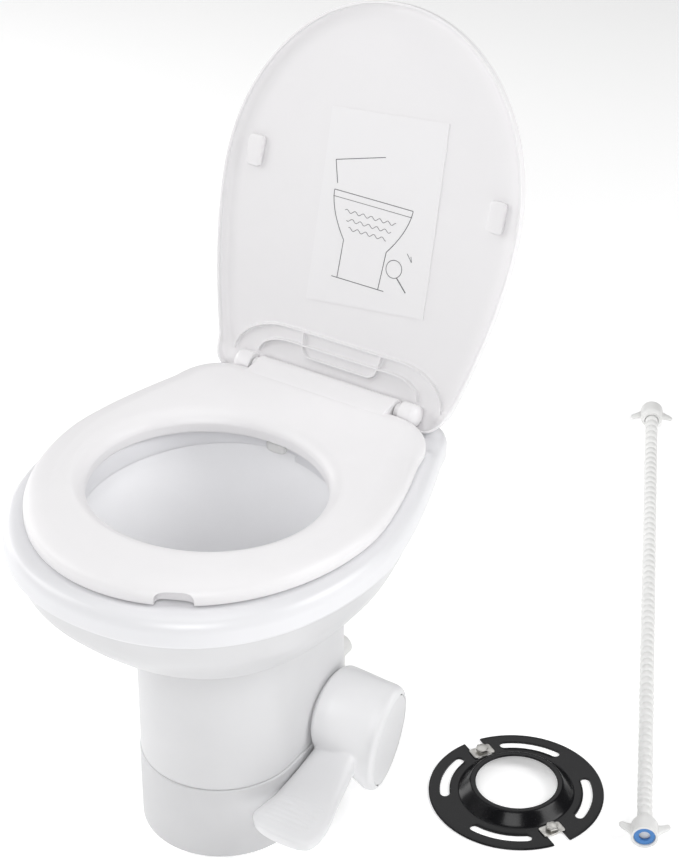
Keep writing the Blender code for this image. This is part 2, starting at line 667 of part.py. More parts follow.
def make_rim(shop):
    """The rim cover: a tall band, a soft shoulder and the deck, open over the basin."""
    rim = rim_outline()
    opening = oval_towards(rim, BOWL_CENTRE_Y, DECK_OPEN_HALF_WIDTH, DECK_OPEN_FRONT, DECK_OPEN_REAR)
    band = DECK_Z - RIM_LOW_Z
    rings = [level(inset(rim, RIM_STEP), RIM_LOW_Z)]
    for inward, height, fall in RIM_SHOULDER_SHARES:
        ring = inset(rim, inward * RIM_SHOULDER)
        rings.append(level(ring, RIM_LOW_Z + band * height - deck_fall(ring) * fall))
    edge = inset(opening, -RIM_STEP * 2)
    shoulder = inset(rim, RIM_SHOULDER)
    for share in DECK_SHARES:
        ring = mix(shoulder, edge, share)
        rings.append(level(ring, DECK_Z - deck_fall(ring)))
    rings += [
        level(edge, DECK_Z - deck_fall(edge)), level(opening, DECK_Z - RIM_STEP * 2 - deck_fall(opening)),
        level(opening, DECK_LIP_Z), level(inset(opening, -DECK_LIP_WALL), DECK_LIP_Z),
    ]
    under = inset(opening, -DECK_LIP_WALL)
    rings.append(level(under, DECK_Z - DECK_THICK - deck_fall(under)))
    shoulder = inset(rim, RIM_SHOULDER + RIM_WALL)
    for share in reversed(DECK_SHARES):
        ring = mix(shoulder, under, share)
        rings.append(level(ring, DECK_Z - DECK_THICK - deck_fall(ring)))
    for inward, height, fall in reversed(RIM_SHOULDER_SHARES[1:]):
        ring = inset(rim, RIM_WALL + inward * RIM_SHOULDER)
        rings.append(level(ring, RIM_LOW_Z + band * height - DECK_THICK - deck_fall(ring) * fall))
    rings.append(level(inset(rim, RIM_WALL), RIM_LOW_Z))
    cover = shop.part(loft("rim", rings, looped=True), "rim_cover", "rim")
    shop.cut(cover, rod("rim_dimple", RIM_DIMPLE_RADIUS, (*RIM_DIMPLE, DECK_Z - DECK_THICK / 2),
                        (*RIM_DIMPLE, DECK_Z + OVERRUN), steps=12))
    rear = BOWL_CENTRE_Y + DECK_OPEN_REAR
    shop.cut(cover, rod("nozzle_bore", NOZZLE_RADIUS + RUN, (0, rear - DECK_LIP_WALL * 2, NOZZLE_Z),
                        (0, rear + DECK_LIP_WALL * 3, NOZZLE_Z), steps=16))
    for side in (-1, 1):
        x = side * post_x()
        shop.cut(cover, rod(f"stud_bore_{side}", STUD_RADIUS + RUN, (x, HINGE_Y, RIM_LOW_Z),
                            (x, HINGE_Y, DECK_Z + OVERRUN), steps=16))


def make_basin(shop):
    """The inner basin, from the flange under the deck down to the round throat."""
    rim = rim_outline()

    def ring(height_share, width_share, wall=0.0, height=None):
        centre_y = BALL_Y + (BOWL_CENTRE_Y - BALL_Y) * width_share
        sizes = [THROAT_RADIUS + (size + BASIN_STEP - THROAT_RADIUS) * width_share + wall
                 for size in (DECK_OPEN_HALF_WIDTH, DECK_OPEN_FRONT, DECK_OPEN_REAR)]
        at = throat_z() + (basin_top() - throat_z()) * height_share - wall * SLOPE_SHARE * width_share
        return level(oval_towards(rim, centre_y, *sizes), at if height is None else height)

    under = basin_top() - BASIN_WALL
    rings = [ring(*shares) for shares in reversed(BASIN_SHARES)]
    rings += [ring(*shares, wall=BASIN_WALL) for shares in BASIN_SHARES[:2] + BASIN_SHARES[2:-1:2]]
    rings += [
        ring(1, 1, wall=BASIN_WALL, height=under - BASIN_WALL),
        ring(1, 1, wall=BASIN_WALL + BASIN_FLANGE, height=under),
        ring(1, 1, wall=BASIN_WALL + BASIN_FLANGE, height=basin_top()),
    ]
    shop.part(loft("basin", rings, looped=True), "basin", "basin")


# Seat, lid and hinge


def post_x():
    """The middle of a hinge post, beside the seat's barrel."""
    return BARREL_HALF_LENGTH + POST_GAP + POST_THICK / 2


def lug_x():
    """Where the lid's hinge lug starts, outside the post."""
    return BARREL_HALF_LENGTH + 2 * POST_GAP + POST_THICK


def make_seat(shop, hinge):
    """The seat ring with its sloped band, its hinge barrel and the finger scoop."""
    outline = seat_outline()
    opening = oval_towards(outline, OPEN_CENTRE_Y, OPEN_HALF_WIDTH, OPEN_FRONT, OPEN_REAR)
    rings = [level(inset(outline, share * SEAT_SHOULDER), SEAT_LOW_Z + height * SEAT_THICK)
             for share, height in SEAT_OUTER_SHARES]
    rings += [level(inset(opening, -share * SEAT_SHOULDER), SEAT_LOW_Z + height * SEAT_THICK)
              for share, height in SEAT_INNER_SHARES]
    seat = shop.part(loft("seat", rings, looped=True), "seat_ring", "seat", hinge)
    # The seat's rear corners stop short of the posts and of the lid's lugs beside them
    for side in (-1, 1):
        start = side * (BARREL_HALF_LENGTH - 2 * POST_GAP)
        shop.cut(seat, rod(f"hinge_clearance_{side}", HINGE_CLEAR_RADIUS, (start, HINGE_Y, HINGE_Z),
                           (start + side * 2 * LUG_LENGTH, HINGE_Y, HINGE_Z), steps=24), hinge)
    web_top = SEAT_LOW_Z + SEAT_THICK * WEB_TOP_SHARE
    web_low = SEAT_LOW_Z + POST_GAP
    web_from = SEAT_REAR_Y - SEAT_SHOULDER * WEB_TOP_SHARE
    web_size = (2 * BARREL_HALF_LENGTH - 2 * POST_GAP, HINGE_Y - web_from, web_top - web_low)
    shop.join(seat, block("seat_web", web_size, (0, (HINGE_Y + web_from) / 2, (web_top + web_low) / 2)), hinge)
    shop.join(seat, rod("seat_barrel", BARREL_RADIUS, (-BARREL_HALF_LENGTH, HINGE_Y, HINGE_Z),
                        (BARREL_HALF_LENGTH, HINGE_Y, HINGE_Z), steps=22), hinge)
    for side in (-1, 1):
        end = side * BARREL_HALF_LENGTH
        shop.cut(seat, rod(f"seat_pin_bore_{side}", PIN_RADIUS + RUN,
                           (end - side * (PIN_DEPTH + RUN), HINGE_Y, HINGE_Z),
                           (end + side * OVERRUN, HINGE_Y, HINGE_Z), steps=16), hinge)
    spot = np.array(NOTCH_AT)
    away = spot - np.array([0.0, SEAT_WIDEST_Y])
    turn = math.atan2(away[1], away[0]) + math.pi / 2
    scoop = block("finger_scoop", (NOTCH_WIDTH, 2 * NOTCH_DEPTH, SEAT_THICK),
                  (*spot, SEAT_LOW_Z + NOTCH_FLOOR + SEAT_THICK / 2), (0, 0, turn))
    round_edges(scoop, NOTCH_DEPTH / 3)
    shop.cut(seat, scoop, hinge)
    for name, x, y in seat_bumper_places():
        size = (SEAT_BUMPER[0], SEAT_BUMPER[1], SEAT_LOW_Z - DECK_Z - 2 * GAP)
        pad = block(name, size, (x, y, (SEAT_LOW_Z + DECK_Z) / 2))
        shop.part(round_edges(pad, GAP * 3, 1), name, "soft", hinge)


def seat_bumper_places():
    """Name and place of each rubber pad under the seat."""
    rows = (("front", SEAT_BUMPER_FRONT), ("rear", SEAT_BUMPER_REAR))
    return [(f"seat_bumper_{row}_{side}", sign * x, y)
            for row, (x, y) in rows for side, sign in (("left", -1), ("right", 1))]


def rear_share(outline):
    """0 at the lid's front and sides, rising to 1 round its rear corners."""
    return smooth_step((outline[:, 1] - SEAT_REAR_Y + LID_CORNER / 2) / LID_CORNER)


def lid_lip_heights(outline):
    """The lip is level round the front and dips behind the hinge, to wrap the barrel."""
    return LID_LIP_Z - (LID_LIP_Z - HINGE_Z + LID_LIP) * rear_share(outline)


def make_lid(shop, hinge):
    """The lid: a shallow tray with stiffening ribs near the hinge and two hinge lugs."""
    outline = lid_outline()
    low = lid_lip_heights(outline)
    centre = np.array([0.0, SEAT_WIDEST_Y])
    lean = np.column_stack([0 * low, -LID_REAR_LEAN * rear_share(outline)])
    rings = []
    for share in LID_TOP_SHARES:
        ring = centre + (inset(outline, LID_LIP * 4) - centre) * share
        rings.append(level(ring, LID_TOP_Z + LID_CROWN * (1 - share ** 2)))
    for inward, height, leaning in reversed(LID_EDGE_SHARES):
        rings.append(level(inset(outline, inward * LID_LIP) + lean * leaning,
                           low + (LID_TOP_Z - low) * height))
    rings.append(level(inset(outline, LID_LIP), low))
    for inward, height, leaning in LID_FILLET_SHARES:
        rings.append(level(inset(outline, LID_LIP + inward * LID_FILLET) + lean * leaning,
                           low + (LID_FLOOR_Z - low) * height))
    for share in reversed(LID_TOP_SHARES[:-1]):
        ring = centre + (inset(outline, LID_LIP + LID_FILLET) - centre) * share
        rings.append(level(ring, LID_FLOOR_Z + LID_CROWN * (1 - share ** 2)))
    lid = shop.part(loft("lid", rings), "lid", "seat", hinge)
    for name, points in lid_rib_lines().items():
        shop.join(lid, rib(name, points, LID_FLOOR_Z - RIB_HEIGHT, LID_FLOOR_Z + LID_CROWN / 2), hinge)
    for side in (-1, 1):
        start = side * lug_x()
        profile = [(0.0, LUG_LENGTH)]
        for i in range(1, LUG_STEPS + 1):
            t = math.pi / 2 * i / LUG_STEPS
            profile.append((BARREL_RADIUS * math.sin(t),
                            LUG_LENGTH - LUG_DOME + LUG_DOME * math.cos(t)))
        profile += [(BARREL_RADIUS, 0.0), (0.0, 0.0)]
        lug = turned(f"lid_lug_{side}", profile, (start, HINGE_Y, HINGE_Z),
                     (0, side * math.pi / 2, 0), steps=24, closed=False)
        web_x = (start, start + side * (LUG_LENGTH - LUG_DOME))
        web = loft(f"lid_lug_web_{side}", [[
            (x, HINGE_Y + behind * BARREL_RADIUS, HINGE_Z + above * BARREL_RADIUS)
            for behind, above in LUG_WEB_SHARES] for x in web_x])
        shop.join(lid, web, hinge)
        shop.join(lid, lug, hinge)
        shop.cut(lid, rod(f"lid_pin_bore_{side}", PIN_RADIUS + RUN, (start - side * OVERRUN, HINGE_Y, HINGE_Z),
                          (start + side * (LUG_LENGTH - LUG_DOME), HINGE_Y, HINGE_Z), steps=16), hinge)
    # Between the lugs the rear wall is left out, so that the lid turns clear of the barrel and the posts
    room = (2 * (lug_x() - RUN), 2 * BARREL_RADIUS, 2 * BARREL_RADIUS)
    shop.cut(lid, block("barrel_room", room, (0, HINGE_Y + BARREL_RADIUS, HINGE_Z + NOTCH_LIFT)), hinge)
    for side, sign in (("left", -1), ("right", 1)):
        low_z = SEAT_LOW_Z + SEAT_THICK + GAP * 2
        high_z = LID_FLOOR_Z - GAP
        pad = block("pad", (*BUMPER_SIZE, high_z - low_z),
                    (sign * BUMPER_X, HINGE_Y - BUMPER_FROM_HINGE, (low_z + high_z) / 2))
        shop.part(round_edges(pad, BUMPER_SIZE[0] / 10, 1), f"lid_bumper_{side}", "seat", hinge)
    hinge.rotation_euler = (-math.radians(LID_OPEN_DEG), 0, 0)


def lid_rib_lines():
    """The three raised lines on the lid near the hinge, as points from above, lid closed."""
    lines = {}
    for name, (half_width, reach, radius_x, radius_y) in LID_ARCHES.items():
        half = []
        for i in range(ARCH_STEPS + 1):
            t = math.pi / 2 * i / ARCH_STEPS
            half.append((half_width - radius_x * (1 - math.cos(t)), reach - radius_y * (1 - math.sin(t))))
        lines[name] = [(x, HINGE_Y - d) for x, d in half] + [(-x, HINGE_Y - d) for x, d in reversed(half)]
    outer = LID_ARCHES["outer_arch"]
    cradle = [(CRADLE_TOP, outer[1]), (CRADLE_TOP * 0.94, CRADLE_REACH * 1.5),
              (CRADLE_TOP * 0.86, CRADLE_REACH * 1.1), (CRADLE_TOP * 0.7, CRADLE_REACH)]
    lines["cradle"] = [(x, HINGE_Y - d) for x, d in cradle] + [(-x, HINGE_Y - d) for x, d in reversed(cradle)]
    return lines


def rib(name, points, low, high):
    """A thin upright fin along points, from one height to another."""
    line = np.array(points)
    tangent = np.gradient(line, axis=0)
    tangent /= np.linalg.norm(tangent, axis=1)[:, None]
    across = np.stack([-tangent[:, 1], tangent[:, 0]], 1) * RIB_WIDTH / 2
    rings = [[(*(p + a), low), (*(p - a), low), (*(p - a), high), (*(p + a), high)]
             for p, a in zip(line, across)]
    return loft(name, rings)


def make_posts(shop):
    """Two posts on the deck carry the hinge pins; a nut under the deck holds each."""
    deck = DECK_Z - DECK_DROP
    foot = deck + GAP
    for side, sign in (("left", -1), ("right", 1)):
        x = sign * post_x()
        cheek = block("cheek", (POST_THICK, POST_DEPTH, HINGE_Z - foot), (x, HINGE_Y, (HINGE_Z + foot) / 2))
        post = shop.part(cheek, f"hinge_post_{side}", "seat")
        half = POST_THICK / 2
        shop.join(post, rod(f"post_head_{side}", POST_DEPTH / 2, (x - half, HINGE_Y, HINGE_Z),
                            (x + half, HINGE_Y, HINGE_Z), steps=16))
        shop.join(post, block(f"post_pad_{side}", (PAD_LENGTH, POST_DEPTH, PAD_THICK),
                              (x, HINGE_Y, foot + PAD_THICK / 2)))
        shop.join(post, rod(f"post_stud_{side}", STUD_RADIUS, (x, HINGE_Y, deck - STUD_LENGTH),
                            (x, HINGE_Y, foot + PAD_THICK / 2), steps=12))
        shop.cut(post, rod(f"post_bore_{side}", PIN_RADIUS + RUN, (x - POST_THICK, HINGE_Y, HINGE_Z),
                           (x + POST_THICK, HINGE_Y, HINGE_Z), steps=16))
        under = deck - DECK_THICK - GAP
        nut = rod("nut", NUT_RADIUS, (x, HINGE_Y, under - NUT_HEIGHT), (x, HINGE_Y, under), steps=6)
        nut = shop.part(nut, f"hinge_nut_{side}", "soft", smooth_deg=20)
        shop.cut(nut, rod(f"nut_thread_{side}", STUD_RADIUS + RUN, (x, HINGE_Y, under - NUT_HEIGHT - OVERRUN),
                          (x, HINGE_Y, deck), steps=16))
        inner_end = BARREL_HALF_LENGTH - PIN_DEPTH
        outer_end = lug_x() + LUG_LENGTH - LUG_DOME - RUN
        pin = rod("pin", PIN_RADIUS, (sign * inner_end, HINGE_Y, HINGE_Z), (sign * outer_end, HINGE_Y, HINGE_Z),
                  steps=16)
        shop.part(pin, f"hinge_pin_{side}", "steel")


# Flush mechanism


def throat_z():
    """The underside of the basin's throat, just above the seal."""
    return seal_top() + GAP


def seal_low():
    """The seal sits just clear of the ball where its inner edge meets it."""
    return AXLE_Z + math.sqrt(BALL_RADIUS ** 2 - SEAL_INNER ** 2) + GAP


def seal_top():
    return seal_low() + SEAL_HEIGHT


def basin_top():
    return DECK_LIP_Z - GAP


def make_ball(shop, axis):
    """The half ball that closes the throat, its two trunnions and its pinion."""
    profile = []
    for i in range(BALL_STEPS + 1):
        t = math.radians(BALL_SPAN_DEG) * i / BALL_STEPS
        profile.append((BALL_RADIUS * math.sin(t), BALL_RADIUS * math.cos(t)))
    inner = BALL_RADIUS - BALL_WALL
    for i in range(BALL_STEPS, -1, -1):
        t = math.radians(BALL_SPAN_DEG) * i / BALL_STEPS
        profile.append((inner * math.sin(t), inner * math.cos(t)))
    centre = (0.0, BALL_Y, AXLE_Z)
    ball = turned("ball", profile, centre, steps=24, closed=False)
    shop.part(ball, "flush_ball", "inner", axis)
    size = 3 * BALL_RADIUS
    for side in (-1, 1):
        edge = math.radians(BALL_OPEN_DEG)
        away = np.array([0, side * math.cos(edge), -math.sin(edge)])
        shop.cut(ball, block(f"ball_edge_{side}", (size, size, size), np.array(centre) + away * size / 2,
                             (-side * edge, 0, 0)), axis)
    for side in (-1, 1):
        outer = PINION_END_X if side > 0 else HOUSING_RADIUS + TRUNNION_RADIUS
        middle = side * CHEEK_X
        shop.join(ball, rod(f"cheek_{side}", CHEEK_RADIUS, (middle, BALL_Y, AXLE_Z),
                            (middle + side * BALL_WALL, BALL_Y, AXLE_Z), steps=24), axis)
        shop.join(ball, rod(f"trunnion_{side}", TRUNNION_RADIUS, (middle, BALL_Y, AXLE_Z),
                            (side * outer, BALL_Y, AXLE_Z), steps=16), axis)
    outline = gear_outline(PINION_TEETH, range(PINION_TEETH), 0.0)
    pinion = plate("pinion", outline, GEAR_THICK, (GEAR_X + GEAR_THICK / 2, BALL_Y, AXLE_Z), YZ_PLANE)
    shop.part(pinion, "ball_pinion", "soft", axis, smooth_deg=25)
    shop.cut(pinion, rod("pinion_bore", TRUNNION_RADIUS + RUN, (GEAR_X - OVERRUN, BALL_Y, AXLE_Z),
                         (GEAR_X + GEAR_THICK + OVERRUN, BALL_Y, AXLE_Z), steps=16), axis)


def gear_module():
    """Tooth size that makes the two gears reach from axle to ball."""
    return 2 * (AXLE_Y - BALL_Y) / (PINION_TEETH + SECTOR_TEETH)


def gear_outline(teeth, picked, centre_angle):
    """Involute teeth on a gear of so many, for the picked tooth numbers.

    Tooth 0 is centred on the given angle. Each tooth is thinned by the backlash, and between
    teeth the outline follows the root circle.
    """
    pitch = gear_module() * teeth / 2
    base = pitch * math.cos(math.radians(PRESSURE_DEG))
    tip = pitch + ADDENDUM_SHARE * gear_module()
    root = pitch - DEDENDUM_SHARE * gear_module()

    def involute(radius):
        angle = math.acos(min(1.0, base / radius))
        return math.tan(angle) - angle

    at_pitch = math.pi / (2 * teeth) - BACKLASH / (2 * pitch)
    radii = np.linspace(max(base, root), tip, FLANK_STEPS)
    halves = [at_pitch + involute(pitch) - involute(radius) for radius in radii]
    outline = []
    for number in picked:
        middle = centre_angle + 2 * math.pi * number / teeth
        flank = list(zip(radii, halves))
        outline.append((root, middle - halves[0]))
        outline += [(radius, middle - half) for radius, half in flank]
        outline += [(radius, middle + half) for radius, half in reversed(flank)]
        outline.append((root, middle + halves[0]))
    return [(radius * math.cos(angle), radius * math.sin(angle)) for radius, angle in outline]


def make_axle_set(shop, axis):
    """The axle that the pedal turns, with its toothed sector and the valve cam."""
    at = (AXLE_Y, AXLE_Z)
    axle = shop.part(rod("axle", AXLE_RADIUS, (AXLE_INNER_X, *at), (AXLE_OUTER_X, *at), steps=20),
                     "pedal_axle", "steel", axis)
    shop.cut(axle, rod("screw_thread", SCREW_RADIUS + RUN, (AXLE_OUTER_X - SCREW_LENGTH - GAP, *at),
                       (AXLE_OUTER_X + OVERRUN, *at), steps=12), axis)
    step = 2 * math.pi / SECTOR_TEETH
    # Outline in the plane of (Y, Z): the teeth face the ball, along -Y
    teeth = gear_outline(SECTOR_TEETH, range(-SECTOR_UP, SECTOR_DOWN), math.pi + step / 2)
    first = math.atan2(teeth[0][1], teeth[0][0])
    last = math.atan2(teeth[-1][1], teeth[-1][0])
    hub = []
    for i in range(HUB_STEPS + 1):
        t = last + ((first - last) % (2 * math.pi)) * i / HUB_STEPS
        hub.append((SECTOR_HUB * math.cos(t), SECTOR_HUB * math.sin(t)))
    sector = plate("sector", teeth + hub, GEAR_THICK, (GEAR_X + GEAR_THICK / 2, *at), YZ_PLANE)
    shop.part(sector, "drive_sector", "soft", axis, smooth_deg=25)
    shop.cut(sector, rod("sector_bore", AXLE_RADIUS + RUN, (GEAR_X - OVERRUN, *at),
                         (GEAR_X + GEAR_THICK + OVERRUN, *at), steps=16), axis)
    # The cam's radius grows steadily with the angle, so the plunger moves evenly with the pedal
    cam = []
    travel = math.radians(PEDAL_TRAVEL_DEG)
    for i in range(CAM_STEPS + 1):
        t = -travel * CAM_LAND_SHARE + travel * (1 + 2 * CAM_LAND_SHARE) * i / CAM_STEPS
        cam.append((CAM_RADIUS + CAM_LIFT * t / travel, -t))
    hub_arc = [(CAM_HUB, -t) for t in np.linspace(math.pi / 2, 2 * math.pi - math.pi / 3, HUB_STEPS)]
    outline = [(radius * math.cos(t), radius * math.sin(t)) for radius, t in cam + hub_arc]
    lobe = plate("cam", outline[::-1], CAM_THICK, (CAM_X + CAM_THICK / 2, *at), YZ_PLANE)
    shop.part(lobe, "valve_cam", "soft", axis, smooth_deg=25)
    shop.cut(lobe, rod("cam_bore", AXLE_RADIUS + RUN, (CAM_X - OVERRUN, *at),
                       (CAM_X + CAM_THICK + OVERRUN, *at), steps=16), axis)


def make_housing(shop):
    """What stays still round the ball: housing, seal, retainer, outlet, bush and spring."""
    centre = (0.0, BALL_Y, 0.0)
    inner = HOUSING_RADIUS - HOUSING_WALL
    roof = seal_top() + GAP
    housing = turned("housing", [
        (HOUSING_RADIUS, roof + HOUSING_WALL), (HOUSING_RADIUS, HOUSING_LOW_Z), (inner, HOUSING_LOW_Z),
        (inner, roof), (throat_outer() + GAP, roof), (throat_outer() + GAP, roof + HOUSING_WALL),
    ], centre, steps=28)
    shop.part(housing, "ball_housing", "inner")
    arm_end = AXLE_Y + AXLE_RADIUS * 2
    shop.join(housing, block("axle_arm", (ARM_THICK, arm_end - BALL_Y, AXLE_RADIUS * 4),
                             (ARM_X + ARM_THICK / 2, (arm_end + BALL_Y) / 2, AXLE_Z)))
    shop.cut(housing, rod("arm_bore", AXLE_RADIUS + RUN, (ARM_X - OVERRUN, AXLE_Y, AXLE_Z),
                          (ARM_X + ARM_THICK + OVERRUN, AXLE_Y, AXLE_Z), steps=20))
    shop.cut(housing, rod("trunnion_bore", TRUNNION_RADIUS + RUN, (-HOUSING_RADIUS - OVERRUN, BALL_Y, AXLE_Z),
                          (HOUSING_RADIUS + OVERRUN, BALL_Y, AXLE_Z), steps=16))
    outer = inner - GAP
    seal = turned("seal", [(outer, seal_top()), (outer, seal_low()), (SEAL_INNER, seal_low()),
                           (SEAL_INNER, seal_top())], centre, steps=28)
    shop.part(seal, "bowl_seal", "rubber")
    under = seal_low() - GAP
    retainer = turned("retainer", [(outer, under), (outer, under - RETAINER_THICK),
                      (RETAINER_INNER, under - RETAINER_THICK), (RETAINER_INNER, under)], centre, steps=28)
    shop.part(retainer, "seal_retainer", "inner")
    outlet = turned("outlet", [(OUTLET_RADIUS, HOUSING_LOW_Z - GAP), (OUTLET_RADIUS, OUTLET_LOW_Z),
                    (OUTLET_RADIUS - HOUSING_WALL, OUTLET_LOW_Z),
                    (OUTLET_RADIUS - HOUSING_WALL, HOUSING_LOW_Z - GAP)], centre, steps=28)
    shop.part(outlet, "outlet_tube", "inner")
    ring_in, ring_out = OUTLET_RADIUS + GAP, FOOT_OPENING_RADIUS - GAP
    floor_seal = turned("floor_seal", [(ring_out, FLOOR_SEAL_TOP), (ring_out, OUTLET_LOW_Z),
                        (ring_in, OUTLET_LOW_Z), (ring_in, FLOOR_SEAL_TOP)], centre, steps=28)
    shop.part(floor_seal, "floor_seal", "rubber")
    wall_inside = DRUM_IN_X - GAP - BOSS_WALL
    bush = turned("bush", [
        (BUSH_RADIUS, DRUM_IN_X - 2 * GAP), (BUSH_RADIUS, wall_inside - GAP),
        (BUSH_FLANGE, wall_inside - GAP), (BUSH_FLANGE, wall_inside - GAP - BOSS_WALL),
        (AXLE_RADIUS + RUN, wall_inside - GAP - BOSS_WALL), (AXLE_RADIUS + RUN, DRUM_IN_X - 2 * GAP),
    ], (0, AXLE_Y, AXLE_Z), (0, math.pi / 2, 0), steps=24)
    shop.part(bush, "axle_bush", "inner")
    low = GEAR_X + GEAR_THICK + SPRING_WIRE + GAP
    high = wall_inside - GAP - BOSS_WALL - SPRING_WIRE - GAP
    count = SPRING_TURNS * SPRING_POINTS
    route = []
    for i in range(count + 1):
        t = 2 * math.pi * i / SPRING_POINTS
        route.append((low + (high - low) * i / count, AXLE_Y + SPRING_RADIUS * math.cos(t),
                      AXLE_Z + SPRING_RADIUS * math.sin(t)))
    spring = tube("spring", route, SPRING_WIRE, resolution=1)
    shop.part(spring, "return_spring", "steel")
    least = (high - low) / SPRING_TURNS - 2 * SPRING_WIRE
    print(f"return spring: least gap between turns {least * 1000:.2f} mm")


def throat_outer():
    return THROAT_RADIUS + BASIN_WALL


def make_pedal(shop, axis):
    """The foot pedal: a drum that changes from round to oval, an arm and a broad tread."""
    angles = [2 * math.pi * i / PEDAL_STEPS for i in range(PEDAL_STEPS)]
    tilt = math.radians(DRUM_END_TILT_DEG)

    def section(x, share, shrink):
        ring = []
        for t in angles:
            # The long way of the oval leans back by the tilt; the round end shares its angles
            long_way, short_way = math.cos(t), math.sin(t)
            round_y = AXLE_Y + (DRUM_RADIUS - shrink) * (long_way * math.sin(tilt) + short_way * math.cos(tilt))
            round_z = AXLE_Z + (DRUM_RADIUS - shrink) * (long_way * math.cos(tilt) - short_way * math.sin(tilt))
            far, near = (DRUM_END_LONG - shrink) * long_way, (DRUM_END_SHORT - shrink) * short_way
            oval_y = DRUM_END_Y + far * math.sin(tilt) + near * math.cos(tilt)
            oval_z = DRUM_END_Z + far * math.cos(tilt) - near * math.sin(tilt)
            ring.append((x, round_y + (oval_y - round_y) * share, round_z + (oval_z - round_z) * share))
        return ring

    length = DRUM_OUT_X - DRUM_IN_X
    rings = [section(DRUM_IN_X + length * along, share, shrink * DRUM_EDGE)
             for along, share, shrink in DRUM_SHARES]
    floor = DRUM_OUT_X - CAP_THICK - GAP
    rings.append(section(floor, 1.0, DRUM_EDGE * DRUM_SHARES[-1][2]))
    pedal = shop.part(loft("drum", rings), "flush_pedal", "shell", axis, smooth_deg=50)
    hollow = [section(DRUM_IN_X + length * along, share, DRUM_WALL + shrink * DRUM_EDGE)
              for along, share, shrink in DRUM_HOLLOW_SHARES]
    shop.cut(pedal, loft("drum_hollow", hollow), axis)
    arm = []
    for y, left, right, top, low in ARM_SECTIONS:
        ring = []
        for i in range(ARM_STEPS):
            t = 2 * math.pi * (i + 0.5) / ARM_STEPS
            c, s = math.cos(t), math.sin(t)
            ring.append(((left + right + (right - left) * math.copysign(abs(c) ** ARM_POWER, c)) / 2, y,
                         (top + low + (top - low) * math.copysign(abs(s) ** ARM_POWER, s)) / 2))
        arm.append(ring)
    shop.join(pedal, loft("arm", arm), axis)
    at = (AXLE_Y, AXLE_Z)
    shop.join(pedal, rod("drum_hub", DRUM_HUB_RADIUS, (DRUM_IN_X, *at), (floor - GAP, *at), steps=24), axis)
    shop.cut(pedal, rod("axle_socket", AXLE_RADIUS + RUN, (DRUM_IN_X - OVERRUN, *at),
                        (AXLE_OUTER_X + GAP, *at), steps=20), axis)
    shop.cut(pedal, rod("screw_way", SCREW_RADIUS + RUN, (AXLE_OUTER_X - OVERRUN, *at),
                        (floor + OVERRUN, *at), steps=12), axis)
    shop.cut(pedal, rod("screw_seat", SCREW_HEAD_RADIUS + RUN, (floor - SCREW_HEAD - GAP, *at),
                        (floor + OVERRUN, *at), steps=20), axis)
    head = floor - SCREW_HEAD
    screw = rod("screw", SCREW_HEAD_RADIUS, (head, *at), (floor - GAP, *at), steps=20)
    screw = shop.part(screw, "pedal_screw", "steel", axis)
    shop.join(screw, rod("screw_shank", SCREW_RADIUS, (AXLE_OUTER_X - SCREW_LENGTH, *at),
                         (head + SCREW_HEAD / 2, *at), steps=12), axis)
    edge = DRUM_EDGE * DRUM_SHARES[-1][2] + GAP * 1.3
    cap = loft("cap", [section(floor + GAP, 1.0, edge), section(DRUM_OUT_X - GAP, 1.0, edge),
                       section(DRUM_OUT_X, 1.0, edge + GAP * 2)])
    shop.part(cap, "pedal_cap", "shell", axis)


# Water supply at the rear


